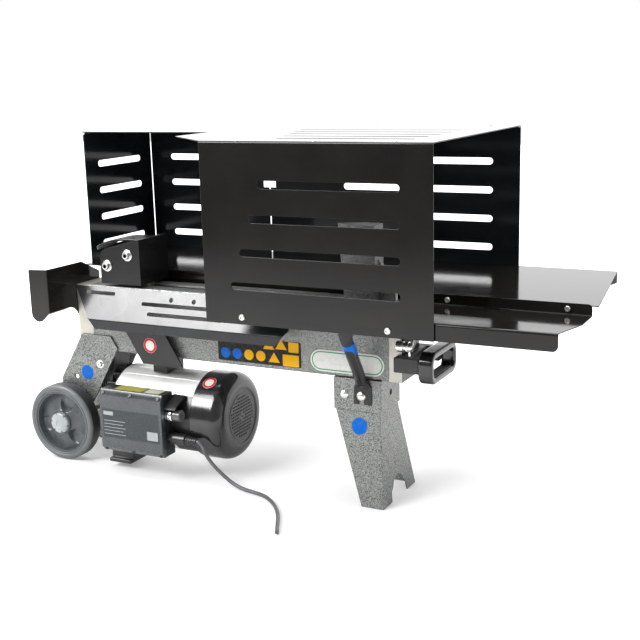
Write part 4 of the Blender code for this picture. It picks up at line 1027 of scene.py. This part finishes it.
def build_hub(label, sign, centre, half):
    """Dished hub with a boss and three round recesses in its web."""
    web_from, web_drop, web_back = 25, 12.0, -6
    front = [(BOSS, AXLE_BORE), (BOSS, 23), (BOSS - 1, 24.2), (12.8, 24.6)]
    for i in range(25):
        r = web_from + (RIM - web_from) * i / 24
        front.append((web_drop - web_drop * ((r - web_from) / (RIM - web_from)) ** 0.8, r))
    front += [(1.5, RIM + 0.6), (half - 5, 62.4), (half - 3.4, 62.9), (half - 3.0, 63.8), (half - 3.0, 65.2)]
    rear = [(-half + 3, 65.2), (-half + 3, RIM), (web_back, 58), (web_back, 20), (-14, 18), (-14, AXLE_BORE)]

    def scoop(a, r, angle):
        if a < web_back + 0.1 or a > web_drop + 0.1 or not web_from - 0.1 < r < RIM + 0.1:
            return sign * a, r
        gap = min(math.hypot(r * math.cos(angle) - SCOOP_AT * math.cos(s),
                             r * math.sin(angle) - SCOOP_AT * math.sin(s)) for s in SCOOPS)
        sunk = min(1.0, max(0.0, (SCOOP_R + 2 - gap) / SCOOP_EDGE))
        return sign * (a * (1 - sunk) + min(a, -1.0) * sunk), r

    hub = lathe("y", centre, front + rear, 180, scoop)
    add_piece(f"hub_{label}_moulded", hub, HUB, f"hub_{label}", smooth=40)


def build_hub_cap(label, sign, centre):
    """Round cap with six notches in its edge and a stepped middle."""
    node = f"hub_cap_{label}"
    low, high = limits(node)
    reach = (high.z - low.z) / 2
    inner = min(abs(low.y - centre.y), abs(high.y - centre.y))
    cap = [(0, 0), (0, reach), (3.0, reach), (4.6, reach - 1.2), (5.4, reach - 3), (5.5, reach - 6),
           (6.8, reach - 8), (7.4, 9), (7.5, 7), (6.6, 6), (6.6, 0)]
    between, wide, deep = 60, 9, 3.0

    def notch(a, r, angle):
        turn = (math.degrees(angle) + 15) % between
        return sign * (inner + a), r - (deep if r > reach - 4 and turn < wide else 0.0)

    add_piece(f"{node}_moulded", lathe("y", centre, cap, 120, notch), CAP, node)


def build_running_gear():
    for label, sign in (("near", -1), ("far", 1)):
        centre, half = build_tyre(label)
        build_hub(label, sign, centre, half)
        build_hub_cap(label, sign, centre)
        plate = f"wheel_plate_{label}"
        dress(plate, HAMMERED, 0.7, 3)
        face = limits(plate)[0 if sign < 0 else 1].y
        fasteners(f"wheel_plate_bolt_{label}", [(-326, face, 209)], (0, sign, 0), 6.4, 4.0, drive="hex",
                  washer=0.8)
    repaint("axle", BARE_STEEL)


def build_leg():
    """Leg and bracket with folded front edges, held by two domed bolts with nuts behind."""
    dress("leg", HAMMERED, 0.6, bends=(lambda p: p.x > 312.5 and abs(p.y) > 42.5, 3.2))
    dress("leg_bracket", HAMMERED, 0.6, bends=(lambda p: p.x > 315.9 and abs(p.y) > 45.9, 3.5))
    head, head_r, shank, nut_r, nut_thick = 5.2, 9.2, 4.8, 8, 5
    for node in ("leg_bolt_inner", "leg_bolt_outer"):
        low, high = limits(node)
        centre = middle(node)
        dome = [(low.y + head * (1 - math.cos(math.radians(t))), head_r * math.sin(math.radians(t)))
                for t in range(0, 91, 10)]
        nut_face = high.y - nut_thick
        rest = [(low.y + head, shank), (nut_face, shank), (nut_face, nut_r), (high.y, nut_r), (high.y, 0)]
        flats = lambda a, r, angle: (a, r if a < 40 or r < 7 else hexagon(r * 1.08, angle))
        mesh = lathe("y", (centre.x, 0, centre.z), dome + rest, 72, flats)
        add_piece(f"{node}_domed", mesh, ZINC, node)


STRUT_R = 11.0
STRUT_FLAT = 1.3                                # half thickness of the strut's pressed ends


def strut_ring(point, ahead, half_wide, half_high):
    """One ring of the strut's skin; flat ends get squarer rings than the round middle."""
    if half_high < 2:
        ahead = Vector((0, 0, 1))
    across = Vector((1, 0, 0))
    out = ahead.cross(across).normalized()
    power = 0.35 if half_high < 2 else (0.6 if half_high < 6 else 1.0)
    ring = []
    for j in range(32):
        c, s = math.cos(2 * math.pi * (j + 0.5) / 32), math.sin(2 * math.pi * (j + 0.5) / 32)
        ring.append(point + across * half_wide * math.copysign(abs(c) ** power, c)
                    + out * half_high * math.copysign(abs(s) ** power, s))
    return ring


def build_strut():
    """Round tube whose ends are pressed flat, with an open slot over the leg bolt."""
    low, high = limits("table_strut")
    y_tab, y_top = -47.6, -142.2
    stations = [((279, y_tab, low.z), 18.0, STRUT_FLAT), ((280, y_tab, 221), 18.0, STRUT_FLAT),
                ((280.2, y_tab - 2.4, 229), 15.5, 5.0), ((280.5, y_tab - 8, 238), STRUT_R, STRUT_R),
                ((283.7, -80, 269), STRUT_R, STRUT_R), ((287, -107, 300), STRUT_R, STRUT_R),
                ((290, -131, 330), STRUT_R, STRUT_R), ((291, -139.2, 341), 12.6, 5.0),
                ((291.5, y_top, 349), 14.0, STRUT_FLAT), ((292, y_top, high.z), 14.0, STRUT_FLAT)]
    points = [Vector(station[0]) for station in stations]
    last = len(points) - 1
    rings = [strut_ring(points[i], points[min(i + 1, last)] - points[max(i - 1, 0)], wide, high_r)
             for i, (_, wide, high_r) in enumerate(stations)]
    open_slot = box((271.7, 282.3), (y_tab - 6, y_tab + 6), (180, 211))
    top_hole = lathe("y", (292, y_top, 358), [(-8, 0), (8, 0), (8, 3.6), (-8, 3.6)], 24)
    add_piece("table_strut_tube", loft(rings), BLACK_STEEL, "table_strut", smooth=45,
              cutters=(open_slot, top_hole))
    lower, upper = points[4], points[6]
    band = tube([lower.lerp(upper, t) for t in (0.60, 0.62, 0.98, 1.0)], STRUT_R + 0.25, (1, 0, 0), 32)
    add_piece("strut_band", band, BLUE, smooth=40, slot="black_steel")


def build_handle():
    """Closed loop of soft section, ribbed where the hand goes."""
    dress("handle_bracket", BLACK_PLASTIC, 2.0, 3)
    low, high = limits("carry_handle")
    thick, depth, corner = 6.5, (high.x - low.x) / 2, 16.0
    middle_x = (low.x + high.x) / 2
    loop = rounded_rectangle((low.y + thick, high.y - thick), (low.z + thick, high.z - thick), corner, 10)
    section = rounded_rectangle((-depth, depth), (-thick, thick), 4.5, 5)
    rings = []
    for i, (y, z) in enumerate(loop):
        along = (Vector(loop[(i + 1) % len(loop)]) - Vector(loop[i - 1])).normalized()
        rings.append([(middle_x + u, y + along.y * w, z - along.x * w) for u, w in section])
    add_piece("carry_handle_grip", loft(rings, closed=True), GLOSS_PLASTIC, "carry_handle", smooth=50)
    ribs = bmesh.new()
    palm = low.z + 2 * thick
    for i in range(5):
        x = low.x + 5 + 4.2 * i
        join(ribs, box((x, x + 1.6), (-46, 46), (palm - 1, palm + 1.2)))
    add_piece("grip_ribs", ribs, BLACK_PLASTIC, bevel=0.4)


# ---------------------------------------------------------------- blank stickers

def sticker(name, outline, level, finish, lift=-0.2, normal="y"):
    """A thin blank film on a flat face across the normal axis; level is the face, lift its sign."""
    mesh = prism(normal, outline, sorted((level, level + lift)))
    add_piece(name, mesh, finish, bevel=0.06, segments=1)


def wrap_round(mesh, radius, degrees, x):
    """Lay a thin plate that faces -Y on to a drum round the motor's axis, this far up its side."""
    for vert in mesh.verts:
        angle = math.radians(degrees) + vert.co.z / radius
        out = radius - vert.co.y
        vert.co = (x + vert.co.x, -out * math.cos(angle), MOTOR_Z + out * math.sin(angle))
    return mesh


def build_beam_stickers():
    """Dark strip with plain discs, triangles and panels, and an empty lozenge badge."""
    beam_face, lift = limits("beam")[0].y, -0.3
    sticker("beam_strip", rounded_rectangle((-35.0, 150.0), (246.0, 296.0), 3), beam_face, BLACK, lift)
    face = beam_face + lift
    for i in range(4):
        disc = circle((-18 + 26.5 * i, 262), 10.5, 40)
        sticker(f"strip_disc_{i}", disc, face, BLUE if i < 2 else YELLOW)
    for i, (x, z) in enumerate(((91, 252), (80, 277), (107, 279))):
        sticker(f"strip_triangle_{i}", [(x - 12.5, z), (x + 12.5, z), (x, z + 20)], face, YELLOW)
    for name, x, z in (("low", (110, 145), (247, 270)), ("high", (123, 145), (275, 295))):
        sticker(f"strip_panel_{name}", rounded_rectangle(x, z, 2), face, YELLOW)
    badge, rim_outer, rim_inner = (
        rounded_rectangle((170.0 + inset, 322.0 - inset), (245.0 + inset, 287.0 - inset), 20.9 - inset)
        for inset in (0, 3, 5))
    sticker("beam_badge", badge, beam_face, WHITE, lift)
    rim = prism("y", rim_outer, (beam_face - 0.5, beam_face - 0.3), [rim_inner])
    add_piece("beam_badge_rim", rim, GREEN)


def build_box_stickers():
    """Two plain films on the switch box, and a grey label with plain lines on its lid."""
    low, high = limits("switch_box")
    for name, x, finish in (("yellow", (-248, -182), PALE_YELLOW), ("cream", (-175, -139), CREAM)):
        outline = rounded_rectangle(x, (low.y + 2, high.y - 3), 1.5)
        sticker(f"box_top_{name}", outline, high.z, finish, 0.25, "z")
    low, high = limits("switch_box_lid")
    label = rounded_rectangle((low.x + 6, high.x - 6), (low.z + 31, low.z + 91), 2)
    sticker("lid_label", label, low.y, LABEL_GREY)
    printed, ink = low.y - 0.2, -0.1
    plate = rounded_rectangle((low.x + 9, low.x + 33), (low.z + 78, low.z + 86), 1.5)
    sticker("lid_label_plate", plate, printed, LABEL_LINE, ink)
    for i in range(5):
        z = low.z + 38 + 7 * i
        line = rectangle((low.x + 9, low.x + 62 - 6 * (i % 2)), (z, z + 1.2))
        sticker(f"lid_label_line_{i}", line, printed, LABEL_LINE, ink)
    grid = rectangle((high.x - 36, high.x - 10), (low.z + 36, low.z + 54))
    sticker("lid_label_grid", grid, printed, LABEL_LINE, ink)


def build_cover_disc():
    """White disc with a red ring on the fan cover's flank, curved to fit it."""
    across, (face, back) = 14.4, (-0.35, -0.05)
    white_disc = [(face, across / 4 * i) for i in range(5)]
    white_disc += [(back, across - across / 4 * i) for i in range(5)]
    red_ring = [(-0.55, 9.5), (-0.55, 13.9), (-0.34, 13.9), (-0.34, 9.5)]
    for name, profile, finish in (("cover_disc", white_disc, WHITE), ("cover_disc_ring", red_ring, RED)):
        disc = wrap_round(lathe("y", (0, 0, 0), profile, 48), -limits("fan_cover")[0].y, 60, -58)
        add_piece(name, disc, finish)


def build_leg_disc():
    """Blue disc on the leg's flank, which leans out from its top to its foot."""
    top, foot = Vector((-42.7, 174.0)), Vector((-78.0, 0.0))       # y and z of the flank's ends
    tilt = math.atan2(top.x - foot.x, top.y)
    height = 147.0
    centre = Vector((272.0, top.x - (top.y - height) * math.tan(tilt), height))
    disc = prism("y", circle((0, 0), 16.0, 48), (-0.3, 0.0))
    disc.transform(Matrix.Translation(centre) @ Matrix.Rotation(-tilt, 4, "X"))
    add_piece("leg_disc", disc, BLUE, bevel=0.06, segments=1)


def build_stickers():
    build_beam_stickers()
    sticker("wheel_plate_disc", circle((-361, 188), 15.5, 48), limits("wheel_plate_near")[0].y, BLUE, -0.25)
    saddle_face, lift, place = limits("motor_saddle")[0].y, -0.25, (-188, 264)
    sticker("saddle_disc", circle(place, 15.5, 48), saddle_face, WHITE, lift)
    ring = prism("y", circle(place, 15.0, 48), (saddle_face - 0.45, saddle_face + lift),
                 [circle(place, 10.5, 48)])
    add_piece("saddle_disc_ring", ring, RED)
    build_box_stickers()
    build_cover_disc()
    build_leg_disc()


# ---------------------------------------------------------------- studio

CAMERA = Vector((1113.0, -1854.0, 807.0))
AZIMUTH, ELEVATION, ROLL = 26.95, 12.84, -1.52      # degrees
LENS = 62.63


def build_camera():
    a, e, roll = (math.radians(v) for v in (AZIMUTH, ELEVATION, ROLL))
    back = Vector((math.sin(a) * math.cos(e), -math.cos(a) * math.cos(e), math.sin(e)))
    level = Vector((math.cos(a), math.sin(a), 0))
    rise = back.cross(level)
    right = level * math.cos(roll) + rise * math.sin(roll)
    up = rise * math.cos(roll) - level * math.sin(roll)
    camera = bpy.data.objects.new("camera", bpy.data.cameras.new("camera"))
    camera.data.lens = LENS
    camera.data.sensor_width = 36.0
    turned = Matrix((right, up, back)).transposed().to_4x4()
    camera.matrix_world = Matrix.Translation(HOME + CAMERA * MM) @ turned
    bpy.context.scene.collection.objects.link(camera)
    bpy.context.scene.camera = camera


def softbox(name, location, target, size, power, glossy_only=False):
    light = bpy.data.lights.new(name, "AREA")
    light.shape = "RECTANGLE"
    light.size, light.size_y = size
    light.energy = power
    lamp = bpy.data.objects.new(name, light)
    lamp.location = location
    lamp.visible_diffuse = not glossy_only
    lamp.rotation_euler = (Vector(target) - Vector(location)).to_track_quat("-Z", "Y").to_euler()
    bpy.context.scene.collection.objects.link(lamp)


FRONT_SKY, BACK_SKY = 0.35, 1.75          # brightness of the studio before and behind the machine
SWEEP = (0.9, 2.0)                        # metres from the middle where the floor turns plain white
SHADOW_FILL = 0.20                        # glow of the floor near the machine, to the camera only


def build_world():
    """Studio walls: dim in front, bright behind, and plain white to the camera."""
    world = bpy.data.worlds.new("studio")
    bpy.context.scene.world = world
    world.use_nodes = True
    nodes, links = world.node_tree.nodes, world.node_tree.links
    axes = nodes.new("ShaderNodeSeparateXYZ")
    links.new(nodes.new("ShaderNodeTexCoord").outputs["Generated"], axes.inputs["Vector"])
    span = nodes.new("ShaderNodeMapRange")
    span.interpolation_type = "SMOOTHSTEP"
    for key, number in (("From Min", -0.7), ("From Max", 0.5), ("To Min", FRONT_SKY), ("To Max", BACK_SKY)):
        span.inputs[key].default_value = number
    links.new(axes.outputs["Y"], span.inputs["Value"])
    pick = nodes.new("ShaderNodeMix")
    pick.inputs["B"].default_value = 1.0
    links.new(nodes.new("ShaderNodeLightPath").outputs["Is Camera Ray"], pick.inputs["Factor"])
    links.new(span.outputs["Result"], pick.inputs["A"])
    links.new(pick.outputs["Result"], nodes["Background"].inputs["Strength"])
    nodes["Background"].inputs["Color"].default_value = (1.0, 1.0, 1.0, 1.0)


def build_floor():
    """White sweep: its far part is plain white to the camera, and it darkens out in front."""
    floor_mesh = bmesh.new()
    bmesh.ops.create_grid(floor_mesh, x_segments=8, y_segments=8, size=9000.0)
    floor = make_object("floor", floor_mesh)
    finish = Finish("studio_floor")
    axes = finish.node("ShaderNodeSeparateXYZ")
    finish.link(finish.place, axes.inputs["Vector"])
    pale = finish.blend(finish.noise(0.8), (0.88, 0.88, 0.88), (0.92, 0.92, 0.92))
    finish.colour(finish.blend(finish.ramp(axes.outputs["Y"], -1.3, -3.0), pale, (0.22, 0.22, 0.22)))
    finish.rough(finish.noise(40.0), 0.6, 0.8)
    away = finish.node("ShaderNodeVectorMath", operation="LENGTH")
    finish.link(finish.place, away.inputs[0])
    glow = finish.ramp(away.outputs["Value"], *SWEEP, SHADOW_FILL, 1.0)
    white = finish.node("ShaderNodeMath", operation="MULTIPLY")
    finish.link(glow, white.inputs[0])
    finish.link(finish.node("ShaderNodeLightPath").outputs["Is Camera Ray"], white.inputs[1])
    finish.shader.inputs["Emission Color"].default_value = (1.0, 1.0, 1.0, 1.0)
    finish.link(white.outputs[0], finish.shader.inputs["Emission Strength"])
    floor.data.materials.append(finish.material)
    floor.location.z -= 0.0005


def build_studio():
    build_world()
    build_floor()
    softbox("sheen", (-2.00, -2.2, 1.98), (-0.2, -0.1, 0.33), (2.3, 1.0), 124.0, glossy_only=True)
    softbox("key", (-1.6, -2.4, 2.6), (0.0, 0.0, 0.3), (1.8, 1.4), 100.0)
    softbox("top", (0.2, 0.5, 2.9), (0.0, 0.0, 0.2), (2.6, 2.2), 70.0)
    bpy.context.scene.view_settings.view_transform = "Standard"


# ---------------------------------------------------------------- assembly

build_hood()
build_tables()
build_trough()
build_lever_guard()
build_beam()
build_pusher()
build_motor()
build_fan_cover()
build_motor_flank_band()
build_switch_box()
build_start_button()
build_cable()
build_running_gear()
build_leg()
build_strut()
build_handle()
build_stickers()
build_camera()
build_studio()
